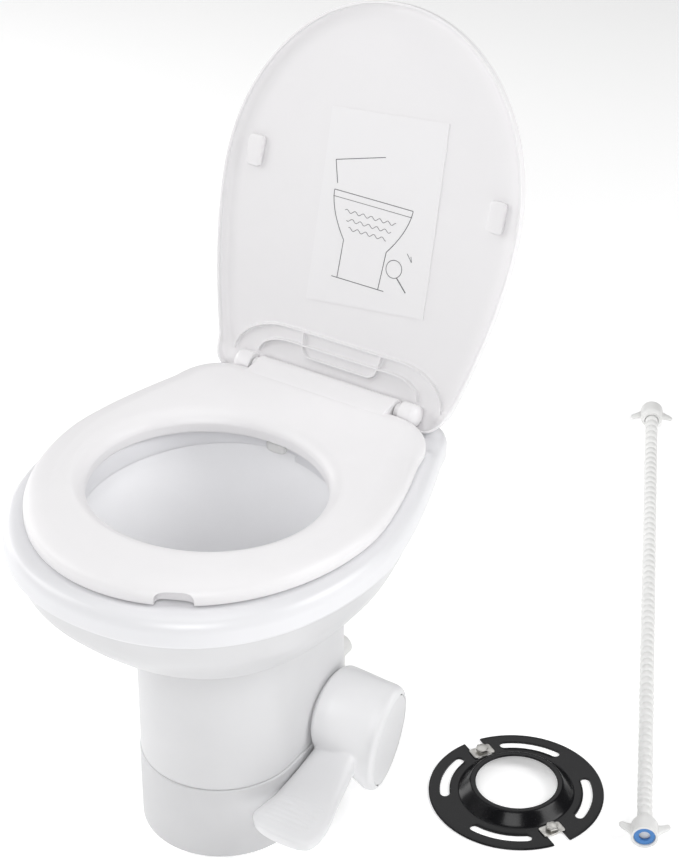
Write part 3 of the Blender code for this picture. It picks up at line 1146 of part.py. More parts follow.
def make_water(shop, axis):
    """Water valve behind the pedestal, vacuum breaker above it and the feed to the nozzle."""
    wall = PED_REAR_Y + GAP
    back = wall + VALVE_LENGTH
    z = AXLE_Z
    valve = rod("valve", VALVE_RADIUS, (VALVE_X, wall, z), (VALVE_X, back, z), steps=24)
    valve = shop.part(valve, "water_valve", "soft")
    mid_y = wall + VALVE_LENGTH * VALVE_MOUTH_SHARE
    flange = block("valve_flange", (VALVE_FLANGE_WIDTH, VALVE_FLANGE_THICK, VALVE_RADIUS * 3),
                   (VALVE_X, wall + VALVE_FLANGE_THICK / 2, z))
    shop.join(valve, flange)
    shop.join(valve, rod("inlet", INLET_RADIUS, (VALVE_X, mid_y, z), (VALVE_X, mid_y, z - INLET_DROP),
                         steps=20))
    shop.join(valve, rod("riser_spigot", FEED_RADIUS, (VALVE_X, BREAKER_Y, z),
                         (VALVE_X, BREAKER_Y, RISER_LOW_Z), steps=16))
    shop.cut(valve, rod("valve_bore", PLUNGER_RADIUS + RUN, (VALVE_X, wall - OVERRUN, z),
                        (VALVE_X, wall + PLUNGER_ROOM, z), steps=16))
    shop.cut(valve, rod("inlet_bore", INLET_BORE, (VALVE_X, mid_y, z - PLUNGER_RADIUS),
                        (VALVE_X, mid_y, z - INLET_DROP - OVERRUN), steps=16))
    # The nose is pointed, because the cam's face slopes past it
    start = AXLE_Y + CAM_RADIUS + NOSE_GAP
    end = wall + PLUNGER_ROOM - CAM_LIFT - NOSE_GAP
    length = end - start
    plunger = turned("plunger", [
        (0, 0), (PLUNGER_NOSE, 0), (PLUNGER_RADIUS, -PLUNGER_RADIUS), (PLUNGER_RADIUS, -length), (0, -length),
    ], (VALVE_X, start, z), (math.pi / 2, 0, 0), steps=16, closed=False)
    shop.part(plunger, "valve_plunger", "brass", axis)
    riser = rod("riser", FEED_RADIUS, (VALVE_X, BREAKER_Y, RISER_LOW_Z + GAP),
                (VALVE_X, BREAKER_Y, BREAKER_LOW_Z - GAP), steps=16)
    shop.part(riser, "riser_pipe", "soft")
    cap_z = BREAKER_TOP_Z - BREAKER_RADIUS
    breaker = turned("breaker", [
        (0, BREAKER_TOP_Z), (BREAKER_RADIUS * 0.6, BREAKER_TOP_Z), (BREAKER_RADIUS * 0.6, cap_z),
        (BREAKER_RADIUS, cap_z - BREAKER_RADIUS * 0.2), (BREAKER_RADIUS, BREAKER_LOW_Z + BREAKER_RADIUS * 0.5),
        (BREAKER_RADIUS * 0.6, BREAKER_LOW_Z), (0, BREAKER_LOW_Z),
    ], (VALVE_X, BREAKER_Y, 0), steps=24, closed=False)
    shop.part(breaker, "vacuum_breaker", "soft")
    rear = BOWL_CENTRE_Y + DECK_OPEN_REAR
    nozzle = turned("nozzle", [
        (NOZZLE_RADIUS * 0.6, DECK_LIP_WALL * 2), (NOZZLE_RADIUS, DECK_LIP_WALL),
        (NOZZLE_RADIUS, -NOZZLE_LENGTH), (NOZZLE_RADIUS * 0.6, -NOZZLE_LENGTH),
    ], (0, rear, NOZZLE_Z), (math.pi / 2, 0, 0), steps=20)
    shop.part(nozzle, "rim_nozzle", "soft")
    end_y = rear + NOZZLE_LENGTH + GAP
    route = smooth_route([(VALVE_X, BREAKER_Y, BREAKER_TOP_Z + GAP), *FEED_WAY, (0, end_y, NOZZLE_Z)],
                         FEED_POINTS)
    shop.part(tube("feed", route, FEED_RADIUS * 0.85, resolution=1), "feed_tube", "soft")
    # A small hood on the deck's lip turns the water along the basin's wall
    rim = rim_outline()
    opening = oval_towards(rim, BOWL_CENTRE_Y, DECK_OPEN_HALF_WIDTH, DECK_OPEN_FRONT, DECK_OPEN_REAR)
    angles = np.degrees(np.arctan2(opening[:, 1] - BOWL_CENTRE_Y, opening[:, 0]))
    picked = np.flatnonzero((angles > DEFLECTOR_DEG[0]) & (angles < DEFLECTOR_DEG[1]))
    near, far = inset(opening, 2 * GAP)[picked], inset(opening, DEFLECTOR_THICK)[picked]
    rings = [[(*a, DEFLECTOR_LOW_Z), (*b, DEFLECTOR_LOW_Z), (*b, DEFLECTOR_LIP_Z), (*a, DEFLECTOR_HIGH_Z)]
             for a, b in zip(near, far)]
    shop.part(loft("deflector", rings), "water_deflector", "rim")


def smooth_route(points, count):
    """Points evenly along a curve that passes through a few given ones."""
    points = [np.array(p, float) for p in points]
    padded = [2 * points[0] - points[1]] + points + [2 * points[-1] - points[-2]]
    fine = []
    for a, b, c, d in zip(padded, padded[1:], padded[2:], padded[3:]):
        for i in range(20):
            t = i / 20
            fine.append(0.5 * (2 * b + (c - a) * t + (2 * a - 5 * b + 4 * c - d) * t ** 2
                               + (3 * b - a - 3 * c + d) * t ** 3))
    fine = np.array(fine + [points[-1]])
    along = np.concatenate([[0], np.cumsum(np.linalg.norm(np.diff(fine, axis=0), axis=1))])
    at = np.linspace(0, along[-1], count)
    return np.column_stack([np.interp(at, along, fine[:, i]) for i in range(3)])


# Floor flange and water hose, which lie beside the toilet


def make_flange(shop):
    """The stamped steel floor flange with its four arc slots and its two bolts."""
    centre = (*FLANGE_AT, 0.0)
    t = FLANGE_STEEL
    ring = turned("flange", [
        (FLANGE_RADIUS, t), (FLANGE_RADIUS, 0), (CONE_FOOT, 0), (CONE_HEAD, CONE_HEIGHT - t),
        (FLANGE_BORE, CONE_HEIGHT - t), (FLANGE_BORE, CONE_HEIGHT), (CONE_HEAD + t / 3, CONE_HEIGHT),
        (CONE_FOOT + t / 3, t),
    ], centre, steps=40)
    shop.part(ring, "floor_flange", "black")
    for number, middle in enumerate(SLOT_ANGLES_DEG):
        outline = []
        for radius, way in ((SLOT_RADIUS + SLOT_WIDTH / 2, 1), (SLOT_RADIUS - SLOT_WIDTH / 2, -1)):
            for i in range(SLOT_STEPS + 1):
                a = math.radians(middle + way * (i / SLOT_STEPS - 0.5) * SLOT_SPAN_DEG)
                outline.append((radius * math.cos(a), radius * math.sin(a)))
        slot = plate(f"slot_{number}", outline, 4 * t, (*FLANGE_AT, t / 2))
        shop.cut(ring, slot)
    for name, angle in NOTCH_ANGLES_DEG.items():
        a = math.radians(angle)
        middle = (FLANGE_RADIUS + NOTCH_INNER) / 2 + OVERRUN / 2
        spot = (FLANGE_AT[0] + middle * math.cos(a), FLANGE_AT[1] + middle * math.sin(a), t / 2)
        size = (FLANGE_RADIUS - NOTCH_INNER + OVERRUN, BOLT_SLOT_WIDTH, 4 * t)
        shop.cut(ring, block(f"bolt_notch_{name}", size, spot, (0, 0, a)))
        bolt_r = NOTCH_INNER + BOLT_FROM_NOTCH
        at = (FLANGE_AT[0] + bolt_r * math.cos(a), FLANGE_AT[1] + bolt_r * math.sin(a))
        clip = block("clip", (CLIP_LENGTH, BOLT_SLOT_WIDTH + 2 * CLIP_LAP, CLIP_STEEL),
                     (*at, t + GAP + CLIP_STEEL / 2), (0, 0, a))
        clip = shop.part(clip, f"bolt_clip_{name}", "zinc")
        shop.cut(clip, rod(f"clip_bore_{name}", BOLT_RADIUS + RUN, (*at, t - OVERRUN),
                           (*at, t + OVERRUN * 2), steps=16))
        top = t + GAP + CLIP_STEEL
        bolt = turned("bolt", [
            (0, top + BOLT_RISE + BOLT_HEAD), (BOLT_HEAD_RADIUS * 0.8, top + BOLT_RISE + BOLT_HEAD),
            (BOLT_HEAD_RADIUS, top + BOLT_RISE + BOLT_HEAD * 0.6), (BOLT_HEAD_RADIUS, top + BOLT_RISE),
            (BOLT_RADIUS, top + BOLT_RISE), (BOLT_RADIUS, t), (BOLT_HEAD_RADIUS, t), (BOLT_HEAD_RADIUS, GAP),
            (0, GAP),
        ], (*at, 0), steps=20, closed=False)
        shop.part(bolt, f"flange_bolt_{name}", "zinc")


def hose_line():
    """The hose's middle line: straight from above, sagging to the floor between its nuts."""
    near, far = np.array(HOSE_NEAR), np.array(HOSE_FAR)
    along = np.linspace(0, 1, HOSE_RIBS * 2 + 1)
    length = np.linalg.norm(far - near)
    run = np.minimum(along, 1 - along) * length
    low = NUT_OUTER - (NUT_OUTER - HOSE_RADIUS) * smooth_step((run - NUT_OUTER) / HOSE_SETTLE) + GAP * 2
    return [(*(near + (far - near) * s), z) for s, z in zip(along, low)]


def make_hose(shop, near_axis, far_axis):
    """The ribbed water hose with a wing nut and a washer at each end."""
    near, far = np.array((*HOSE_NEAR, 0)), np.array((*HOSE_FAR, 0))
    way = (far - near) / np.linalg.norm(far - near)
    line = [np.array(point) for point in hose_line()]
    shares = [HOSE_GROOVE_SHARE if i % 2 else 1.0 for i in range(len(line))]
    shares[0] = shares[-1] = HOSE_GROOVE_SHARE
    # Each end carries a flanged tail, which the nut pulls against the washer
    tail = [(WASHER_SEAT - GAP, TAIL_RADIUS / HOSE_RADIUS), (GAP * 3, TAIL_RADIUS / HOSE_RADIUS),
            (GAP * 2, HOSE_GROOVE_SHARE)]
    route = [line[0] - way * along for along, _ in tail] + line
    route += [line[-1] + way * along for along, _ in reversed(tail)]
    radii = [share for _, share in tail] + shares + [share for _, share in reversed(tail)]
    hose = shop.part(tube("hose", route, HOSE_RADIUS, radii, resolution=2), "supply_hose", "soft",
                     smooth_deg=60)
    bore = [line[0] - way * NUT_LENGTH] + line[4:-4:8] + [line[-1] + way * NUT_LENGTH]
    shop.cut(hose, tube("hose_bore", bore, HOSE_BORE, resolution=1))
    height = NUT_OUTER + GAP * 2
    for name, start, sign, axis in (("near", near, -1, near_axis), ("far", far, 1, far_axis)):
        spot = start + (0, 0, height)
        out = way * sign
        turn = mathutils.Vector(out).to_track_quat("Z", "Y").to_euler()
        nut = turned("nut", [
            (COLLAR_OUTER, -COLLAR_LENGTH), (COLLAR_INNER, -COLLAR_LENGTH), (COLLAR_INNER, GAP * 2),
            (NUT_INNER, GAP * 2), (NUT_INNER, NUT_LENGTH), (NUT_OUTER, NUT_LENGTH), (NUT_OUTER, 0),
            (COLLAR_OUTER, -GAP * 3),
        ], spot, turn, steps=20)
        nut = shop.part(nut, f"hose_nut_{name}", "soft", axis)
        side = np.cross(out, (0, 0, 1))
        for sign_2 in (-1, 1):
            middle = spot + out * WING_LENGTH * 0.6 + side * sign_2 * (NUT_OUTER + WING_SPAN / 2 - WING_THICK)
            wing = block(f"wing_{name}_{sign_2}", (WING_SPAN, WING_LENGTH, WING_THICK), middle,
                         (0, 0, math.atan2(side[1], side[0])))
            round_edges(wing, WING_THICK / 3, 1)
            shop.join(nut, wing, axis)
        washer = turned("washer", [
            (NUT_INNER - RUN, NUT_LENGTH - WASHER_DEPTH), (NUT_INNER - RUN, WASHER_SEAT),
            (HOSE_BORE, WASHER_SEAT), (HOSE_BORE, NUT_LENGTH - WASHER_DEPTH),
        ], spot, turn, steps=24)
        shop.part(washer, f"hose_washer_{name}", "blue", axis)


def main():
    for thing in list(bpy.data.objects):
        bpy.data.objects.remove(thing)
    shop = Shop()
    seat_hinge = shop.axis("seat_hinge", (0, HINGE_Y, HINGE_Z))
    lid_hinge = shop.axis("lid_hinge", (0, HINGE_Y, HINGE_Z))
    pedal_axis = shop.axis("pedal_axis", (0, AXLE_Y, AXLE_Z))
    ball_axis = shop.axis("ball_axis", (0, BALL_Y, AXLE_Z))
    valve_axis = shop.axis("valve_axis", (VALVE_X, AXLE_Y, AXLE_Z))
    height = NUT_OUTER + GAP * 2
    near_axis = shop.axis("near_nut_axis", (*HOSE_NEAR, height))
    far_axis = shop.axis("far_nut_axis", (*HOSE_FAR, height))
    make_foot(shop)
    make_bowl_shell(shop)
    make_rim(shop)
    make_basin(shop)
    make_seat(shop, seat_hinge)
    make_posts(shop)
    make_lid(shop, lid_hinge)
    make_housing(shop)
    make_ball(shop, ball_axis)
    make_axle_set(shop, pedal_axis)
    make_pedal(shop, pedal_axis)
    make_water(shop, valve_axis)
    make_flange(shop)
    make_hose(shop, near_axis, far_axis)


main()
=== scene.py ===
"""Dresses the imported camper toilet, its floor flange and its water hose for the studio.

Metres, +Z up, the floor is z = 0 and the front of the bowl looks along -Y, as in the CAD. Large
mouldings are finely sampled versions of the CAD outlines with soft edges; each stands for its
node. The nodes that keep their CAD shape get a procedural finish.
"""

from __future__ import annotations

import json
import logging
import math
from dataclasses import dataclass, field
from enum import Enum
from typing import Callable, Sequence

import bmesh
import bpy
import mathutils
import numpy as np
from bpy.types import Material, Mesh, Node, NodeSocket, NodeTree, Object
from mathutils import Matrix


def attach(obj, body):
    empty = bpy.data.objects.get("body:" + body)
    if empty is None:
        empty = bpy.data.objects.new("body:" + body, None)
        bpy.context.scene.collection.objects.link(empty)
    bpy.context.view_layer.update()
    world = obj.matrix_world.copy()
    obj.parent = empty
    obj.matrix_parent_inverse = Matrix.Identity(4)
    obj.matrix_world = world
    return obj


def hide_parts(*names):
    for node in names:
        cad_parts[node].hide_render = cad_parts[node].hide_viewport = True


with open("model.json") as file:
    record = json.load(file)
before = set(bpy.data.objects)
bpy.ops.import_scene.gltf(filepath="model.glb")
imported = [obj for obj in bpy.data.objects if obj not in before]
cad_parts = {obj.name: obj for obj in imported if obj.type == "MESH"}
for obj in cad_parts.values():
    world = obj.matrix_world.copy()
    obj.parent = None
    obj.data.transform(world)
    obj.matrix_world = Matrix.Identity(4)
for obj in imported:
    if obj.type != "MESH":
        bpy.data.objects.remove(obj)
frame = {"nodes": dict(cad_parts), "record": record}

Array = np.ndarray
Pair = tuple[float, float]
Triple = tuple[float, float, float]
Move = Callable[[Array], Array]
LOG = logging.getLogger("camper_toilet")
GAP = 0.0003
WELD = 1e-6
TAU = 2 * math.pi


class Body(str, Enum):
    """The CAD bodies that pieces ride on."""

    BASE = "base"
    SEAT = "seat"
    LID = "lid_body"
    PEDAL = "pedal"
    NEAR_NUT = "near_nut"
    FAR_NUT = "far_nut"


# Curves and surfaces


def unit(vectors: Array) -> Array:
    """Vectors along the last axis, each scaled to length 1."""
    return vectors / np.linalg.norm(vectors, axis=-1, keepdims=True)


def smooth_step(value: Array) -> Array:
    """0 below 0, 1 above 1, and t * t * (3 - 2 t) between."""
    t = np.clip(value, 0.0, 1.0)
    return t * t * (3 - 2 * t)


def run_of(rows: Array) -> Array:
    """Distance travelled along the first axis, as the mean over all columns, from 0."""
    steps = np.linalg.norm(np.diff(rows, axis=0), axis=-1).reshape(len(rows) - 1, -1).mean(1)
    return np.concatenate([[0.0], np.cumsum(np.maximum(steps, 1e-9))])


def through(rows: Array, run: Array, at: Array) -> Array:
    """A cubic through every row that never overshoots.

    Slopes are harmonic means of the neighbouring slopes, and 0 where those change sign.

    Args:
        rows: Control rows of shape (rows, columns, axes).
        run: The distance of each control row.
        at: Distances at which rows are wanted.

    Returns:
        The rows at those distances.
    """
    shape = (-1,) + (1,) * (rows.ndim - 1)
    gap = np.diff(run).reshape(shape)
    rise = np.diff(rows, axis=0) / gap
    slope = np.empty_like(rows)
    slope[0], slope[-1] = rise[0], rise[-1]
    if len(rows) > 2:
        before, after = 2 * gap[1:] + gap[:-1], gap[1:] + 2 * gap[:-1]
        same = rise[:-1] * rise[1:] > 0
        with np.errstate(divide="ignore", invalid="ignore"):
            mean = (before + after) / (before / rise[:-1] + after / rise[1:])
        slope[1:-1] = np.where(same, mean, 0.0)
    k = np.clip(np.searchsorted(run, at, side="right") - 1, 0, len(rows) - 2)
    width = gap[k]
    t = (at - run[k]).reshape(shape) / width
    return (rows[k] * (1 + 2 * t) * (1 - t) ** 2 + slope[k] * width * t * (1 - t) ** 2
            + rows[k + 1] * t * t * (3 - 2 * t) + slope[k + 1] * width * t * t * (t - 1))


def softened(rows: Array, spacing: float, soft: float, closed: bool) -> Array:
    """Rows averaged with their neighbours by a bell curve, which rounds sharp edges.

    Args:
        rows: Evenly spaced rows.
        spacing: Distance between rows.
        soft: Width of the bell.
        closed: Whether the last row is followed by the first.

    Returns:
        As many rows, the ends kept where the surface is open.
    """
    reach = max(1, int(round(3 * soft / spacing)))
    offsets = np.arange(-reach, reach + 1)
    weights = np.exp(-0.5 * (offsets * spacing / soft) ** 2)
    weights /= weights.sum()
    count = len(rows)
    total = np.zeros_like(rows)
    for offset, weight in zip(offsets, weights):
        index = np.arange(count) + offset
        index = index % count if closed else np.clip(index, 0, count - 1)
        total += rows[index] * weight
    if not closed:
        total[0], total[-1] = rows[0], rows[-1]
    return total


@dataclass(frozen=True)
class Fineness:
    """How closely a surface follows its shape between control rows."""

    step: float = 0.006
    turn_deg: float = 11.0
    soft: float = 0.0007
    sample: float = 0.0003


LATHE = Fineness(0.003, 14, 0.0004, 0.0001)


def refined(rows: Array, corners: Sequence[int] = (), closed: bool = False,
            fine: Fineness = Fineness()) -> Array:
    """Rows made dense where the surface bends and sparse where it is straight.

    A smooth curve runs through the control rows from corner to corner, its corners are rounded
    by averaging, and new rows are spread evenly over distance plus turning.

    Args:
        rows: Control rows of shape (rows, columns, 3).
        corners: Rows at which the surface has an edge.
        closed: Whether the rows form a loop. It then has to start at a corner.
        fine: The fineness wanted.

    Returns:
        The dense rows.
    """
    loop = np.concatenate([rows, rows[:1]]) if closed else rows
    run = run_of(loop)
    count = max(8, int(run[-1] / fine.sample))
    at = np.linspace(0, run[-1], count + 1)
    stops = sorted({0, len(loop) - 1, *(c % len(loop) for c in corners)})
    dense = np.empty((count + 1, *rows.shape[1:]))
    for first, last in zip(stops, stops[1:]):
        here = (at >= run[first] - 1e-12) & (at <= run[last] + 1e-12)
        dense[here] = through(loop[first:last + 1], run[first:last + 1], at[here])
    if closed:
        dense = dense[:-1]
    dense = softened(dense, run[-1] / count, fine.soft, closed)
    if closed:
        dense = np.concatenate([dense, dense[:1]])
    some = dense.reshape(len(dense), -1, rows.shape[-1])[:, ::8]
    way = np.diff(some, axis=0)
    length = np.linalg.norm(way, axis=-1)
    way /= np.maximum(length, 1e-12)[..., None]
    bend = np.degrees(np.arccos(np.clip((way[1:] * way[:-1]).sum(-1), -1, 1))).max(1)
    cost = length.mean(1) / fine.step
    cost[1:] += bend / fine.turn_deg / 2
    cost[:-1] += bend / fine.turn_deg / 2
    total = np.concatenate([[0], np.cumsum(cost)])
    wanted = np.linspace(0, total[-1], max(4, int(math.ceil(total[-1]))) + 1)
    if closed:
        wanted = wanted[:-1]
    spot = np.interp(wanted, total, np.arange(len(dense)))
    low = np.minimum(spot.astype(int), len(dense) - 2)
    share = (spot - low).reshape((-1,) + (1,) * (rows.ndim - 1))
    return dense[low] * (1 - share) + dense[low + 1] * share


@dataclass
class Surface:
    """Points with quads and triangles, as whole arrays."""

    points: Array
    quads: Array
    tris: Array = field(default_factory=lambda: np.zeros((0, 3), int))

    @classmethod
    def grid(cls, rows: Array, wrap_rows: bool = False, wrap_columns: bool = True,
             pole_first: bool = False, pole_last: bool = False) -> Surface:
        """A skin over a grid: corner (i, j) joins (i, j + 1), (i + 1, j + 1) and (i + 1, j).

        Args:
            rows: Points of shape (rows, columns, 3).
            wrap_rows: Whether the last row joins the first.
            wrap_columns: Whether the last column joins the first.
            pole_first: Whether the first row closes on its own middle.
            pole_last: Whether the last row closes on its own middle.

        Returns:
            The surface.
        """
        m, n = rows.shape[:2]
        i = np.arange(m if wrap_rows else m - 1)[:, None]
        j = np.arange(n if wrap_columns else n - 1)[None]
        after_i, after_j = (i + 1) % m, (j + 1) % n
        quads = np.stack([i * n + j, i * n + after_j, after_i * n + after_j, after_i * n + j], -1)
        points, tris = [rows.reshape(-1, 3)], []
        around = np.arange(n)
        for wanted, row, turn in ((pole_first, 0, -1), (pole_last, m - 1, 1)):
            if wanted:
                middle = np.full(n, sum(map(len, points)))
                points.append(rows[row].mean(0)[None])
                fan = np.stack([row * n + around, row * n + (around + 1) % n, middle], -1)
                tris.append(fan[:, ::turn])
        return cls(np.concatenate(points), quads.reshape(-1, 4),
                   np.concatenate(tris) if tris else np.zeros((0, 3), int))

    @classmethod
    def closed(cls, rows: Array) -> Surface:
        """A skin round a stack of rings with a pole at each end, its faces outwards."""
        return cls.grid(rows, pole_first=True, pole_last=True).outwards()

    def joined(self, *others: Surface) -> Surface:
        """This surface and others as one, not welded.

        Args:
            *others: The others.

        Returns:
            The whole.
        """
        whole = [self, *others]
        starts = np.cumsum([0] + [len(s.points) for s in whole[:-1]])
        return Surface(np.concatenate([s.points for s in whole]),
                       np.concatenate([s.quads + k for s, k in zip(whole, starts)]),
                       np.concatenate([s.tris + k for s, k in zip(whole, starts)]))

    def moved(self, move: Move) -> Surface:
        """The surface with every point passed through a function."""
        return Surface(move(self.points), self.quads, self.tris)

    def volume(self) -> float:
        """Six-fold signed volume: the sum of a . (b x c) over all triangles.

        Returns:
            The volume, below 0 where the faces point inwards.
        """
        tri = np.concatenate([self.tris, self.quads[:, [0, 1, 2]], self.quads[:, [0, 2, 3]]])
        a, b, c = (self.points[tri[:, k]] for k in range(3))
        return float((a * np.cross(b, c)).sum())

    def outwards(self) -> Surface:
        """The surface with its faces turned outwards, judged by its volume."""
        way = 1 if self.volume() >= 0 else -1
        return Surface(self.points, self.quads[:, ::way], self.tris[:, ::way])

    def mesh(self, name: str) -> Mesh:
        """A welded Blender mesh of the surface.

        Args:
            name: The mesh's name.

        Returns:
            The mesh.
        """
        sides = np.concatenate([np.full(len(self.quads), 4), np.full(len(self.tris), 3)])
        corners = np.concatenate([self.quads.ravel(), self.tris.ravel()])
        mesh = bpy.data.meshes.new(name)
        mesh.vertices.add(len(self.points))
        mesh.vertices.foreach_set("co", self.points.astype(np.float32).ravel())
        mesh.loops.add(len(corners))
        mesh.loops.foreach_set("vertex_index", corners.astype(np.int32))
        mesh.polygons.add(len(sides))
        mesh.polygons.foreach_set("loop_start", (np.cumsum(sides) - sides).astype(np.int32))
        mesh.update(calc_edges=True)
        bm = bmesh.new()
        bm.from_mesh(mesh)
        bmesh.ops.remove_doubles(bm, verts=bm.verts, dist=WELD)
        bmesh.ops.dissolve_degenerate(bm, edges=bm.edges, dist=WELD)
        bm.to_mesh(mesh)
        bm.free()
        return mesh


def turned(profile: Sequence[Pair], steps: int = 64, closed: bool = True,
           corners: Sequence[int] | None = None, fine: Fineness = LATHE) -> Surface:
    """A profile of (radius, height) spun about +Z, its edges softened.

    Args:
        profile: The profile's points.
        steps: Columns round the axis.
        closed: Whether the profile is a loop. An open one ends on the axis.
        corners: The profile's edges, or every point.
        fine: How finely the profile is followed.

    Returns:
        The surface.
    """
    line = np.array([(r, 0.0, h) for r, h in profile])[:, None]
    line = refined(line, range(len(profile)) if corners is None else corners, closed, fine)[:, 0]
    angle = TAU * np.arange(steps) / steps
    if not closed:
        line = line[1:-1]
    rows = np.stack([line[:, :1] * np.cos(angle), line[:, :1] * np.sin(angle),
                     np.broadcast_to(line[:, 2:], (len(line), steps))], -1)
    return Surface.grid(rows, wrap_rows=closed, pole_first=not closed,
                        pole_last=not closed).outwards()


def rod(radius: float, low: float, high: float, steps: int = 32,
        fine: Fineness = LATHE) -> Surface:
    """A plain cylinder about +Z between two heights, to cut with."""
    return turned([(0, low), (radius, low), (radius, high), (0, high)], steps, False, fine=fine)


def frames_along(path: Array) -> tuple[Array, Array, Array]:
    """The direction, the side and the upward normal at each point of a path.

    Args:
        path: Points of shape (count, 3), nowhere upright.

    Returns:
        Three arrays of unit vectors.
    """
    way = unit(np.gradient(path, axis=0))
    side = unit(np.cross(way, (0.0, 0.0, 1.0)))
    return way, side, np.cross(side, way)


def tube(path: Array, radii: Array, steps: int = 20, squash: float = 1.0) -> Surface:
    """A tube: each ring is centre + radius (cos a side + sin a up), closed at both ends.

    Args:
        path: The middle line.
        radii: One radius for each point.
        steps: Columns round the tube.
        squash: Height of a ring over its width.

    Returns:
        The surface.
    """
    _, side, up = frames_along(path)
    angle = TAU * np.arange(steps) / steps
    rows = (path[:, None] + radii[:, None, None]
            * (np.cos(angle)[None, :, None] * side[:, None]
               + squash * np.sin(angle)[None, :, None] * up[:, None]))
    return Surface.closed(rows)


def along_axis(out: Sequence[float], centre: Sequence[float]) -> Move:
    """A move of points that lays +Z along a unit direction and the origin on a centre."""
    turn = np.array(mathutils.Vector(out).to_track_quat("Z", "Y").to_matrix())
    return lambda points: points @ turn.T + np.asarray(centre)


def turn_z(angle: float) -> Array:
    """The matrix of a turn about +Z."""
    c, s = math.cos(angle), math.sin(angle)
    return np.array([[c, -s, 0], [s, c, 0], [0, 0, 1]])


def super_ring(count: int, power: float) -> tuple[Array, Array]:
    """Cosine and sine of even angles raised to a power with their signs kept.

    Args:
        count: How many angles.
        power: 1 gives a circle, less a squarer ring.

    Returns:
        The two arrays.
    """
    angle = TAU * (np.arange(count) + 0.5) / count
    c, s = np.cos(angle), np.sin(angle)
    return np.sign(c) * np.abs(c) ** power, np.sign(s) * np.abs(s) ** power


def rounded_block(size: Sequence[float], centre: Sequence[float], power: float = 0.35,
                  columns: int = 48, rows: int = 18) -> Surface:
    """A superellipsoid: x and y swing by a power of cos, z by a power of sin of the latitude.

    Args:
        size: Full size along each axis.
        centre: Its middle.
        power: Squareness of its edges: 1 is an ellipsoid.
        columns: Points round it.
        rows: Rings from bottom to top.

    Returns:
        The surface.
    """
    c, s = super_ring(columns, power)
    lat = np.pi * ((np.arange(rows) + 0.5) / rows - 0.5)
    flat = np.cos(lat) ** power
    high = np.sign(lat) * np.abs(np.sin(lat)) ** power
    grid = np.stack([flat[:, None] * c, flat[:, None] * s,
                     np.repeat(high[:, None], columns, 1)], -1)
    return Surface.closed(grid * np.array(size) / 2 + np.array(centre))


def slab(outline: Array, low: float, high: float) -> Surface:
    """An outline seen from above, carried from one height to another and closed."""
    rows = np.stack([np.column_stack([outline, np.full(len(outline), z)]) for z in (low, high)])
    return Surface.closed(rows)


# Outlines shared by the mouldings

FRONT, SIDE, CORNER, REAR = 60, 36, 16, 16
EASE = 1.5      # samples over which the joints of an outline's curves are evened out


@dataclass(frozen=True)
class Egg:
    """An outline seen from above: superellipse front, tapering sides, round rear corners."""

    half_width: float
    front: float
    widest_y: float
    rear_y: float
    rear_half_width: float
    corner: float
    squareness: float = 2.0
    taper: float = 1.0

    def points(self) -> Array:
        """The outline, counter-clockwise from the front tip.

        x = half width sin(t)^(2/n) and y = widest - front cos(t)^(2/n) over the front, x falls by
        a power of y along the side, then come a quarter circle and the straight rear.

        Returns:
            Points of shape (256, 2).
        """
        t = np.pi / 2 * np.arange(FRONT) / FRONT
        power = 2 / self.squareness
        front = np.stack([self.half_width * np.sin(t) ** power,
                          self.widest_y - self.front * np.cos(t) ** power], 1)
        corner_y = self.rear_y - self.corner

        def side_x(y: Array) -> Array:
            """Half width at a y behind the widest line."""
            share = (y - self.widest_y) / (self.rear_y - self.widest_y)
            return self.half_width - (self.half_width - self.rear_half_width) * share ** self.taper

        y = self.widest_y + (corner_y - self.widest_y) * np.arange(SIDE) / SIDE
        side = np.stack([side_x(y), y], 1)
        middle = side_x(np.array(corner_y)) - self.corner
        t = np.pi / 2 * np.arange(CORNER) / CORNER
        corner = np.stack([middle + self.corner * np.cos(t), corner_y + self.corner * np.sin(t)], 1)
        share = np.arange(REAR + 1) / REAR
        rear = np.stack([middle * (1 - share), np.full(REAR + 1, self.rear_y)], 1)
        half = np.concatenate([front, side, corner, rear])
        whole = np.concatenate([half, half[-2:0:-1] * (-1, 1)])
        return softened(whole, 1.0, EASE, True)


def inset(outline: Array, distance: float | Array) -> Array:
    """The outline moved inwards along its normals, or outwards where negative.

    Args:
        outline: Points of shape (count, 2), counter-clockwise.
        distance: One distance, or one for each point.

    Returns:
        The moved outline.
    """
    tangent = unit(np.roll(outline, -1, 0) - np.roll(outline, 1, 0))
    away = np.broadcast_to(np.asarray(distance, float), len(outline))[:, None]
    return outline + np.stack([-tangent[:, 1], tangent[:, 0]], 1) * away


def oval_towards(outline: Array, centre_y: float, half_width: float, front: float,
                 rear: float) -> Array:
    """An oval whose points lie in the outline's directions from the oval's centre.

    Args:
        outline: The outline that gives the directions.
        centre_y: The oval's centre.
        half_width: Its half width.
        front: Its reach to the front.
        rear: Its reach to the rear.

    Returns:
        As many points on the oval.
    """
    away = unit(outline - (0.0, centre_y))
    length = np.where(away[:, 1] < 0, front, rear)
    reach = 1 / np.sqrt((away[:, 0] / half_width) ** 2 + (away[:, 1] / length) ** 2)
    return np.array([0.0, centre_y]) + away * reach[:, None]


def level(outline: Array, height: float | Array) -> Array:
    """An outline lifted to a height, which may be one number or one for each point."""
    return np.column_stack([outline, np.broadcast_to(np.asarray(height, float), len(outline))])


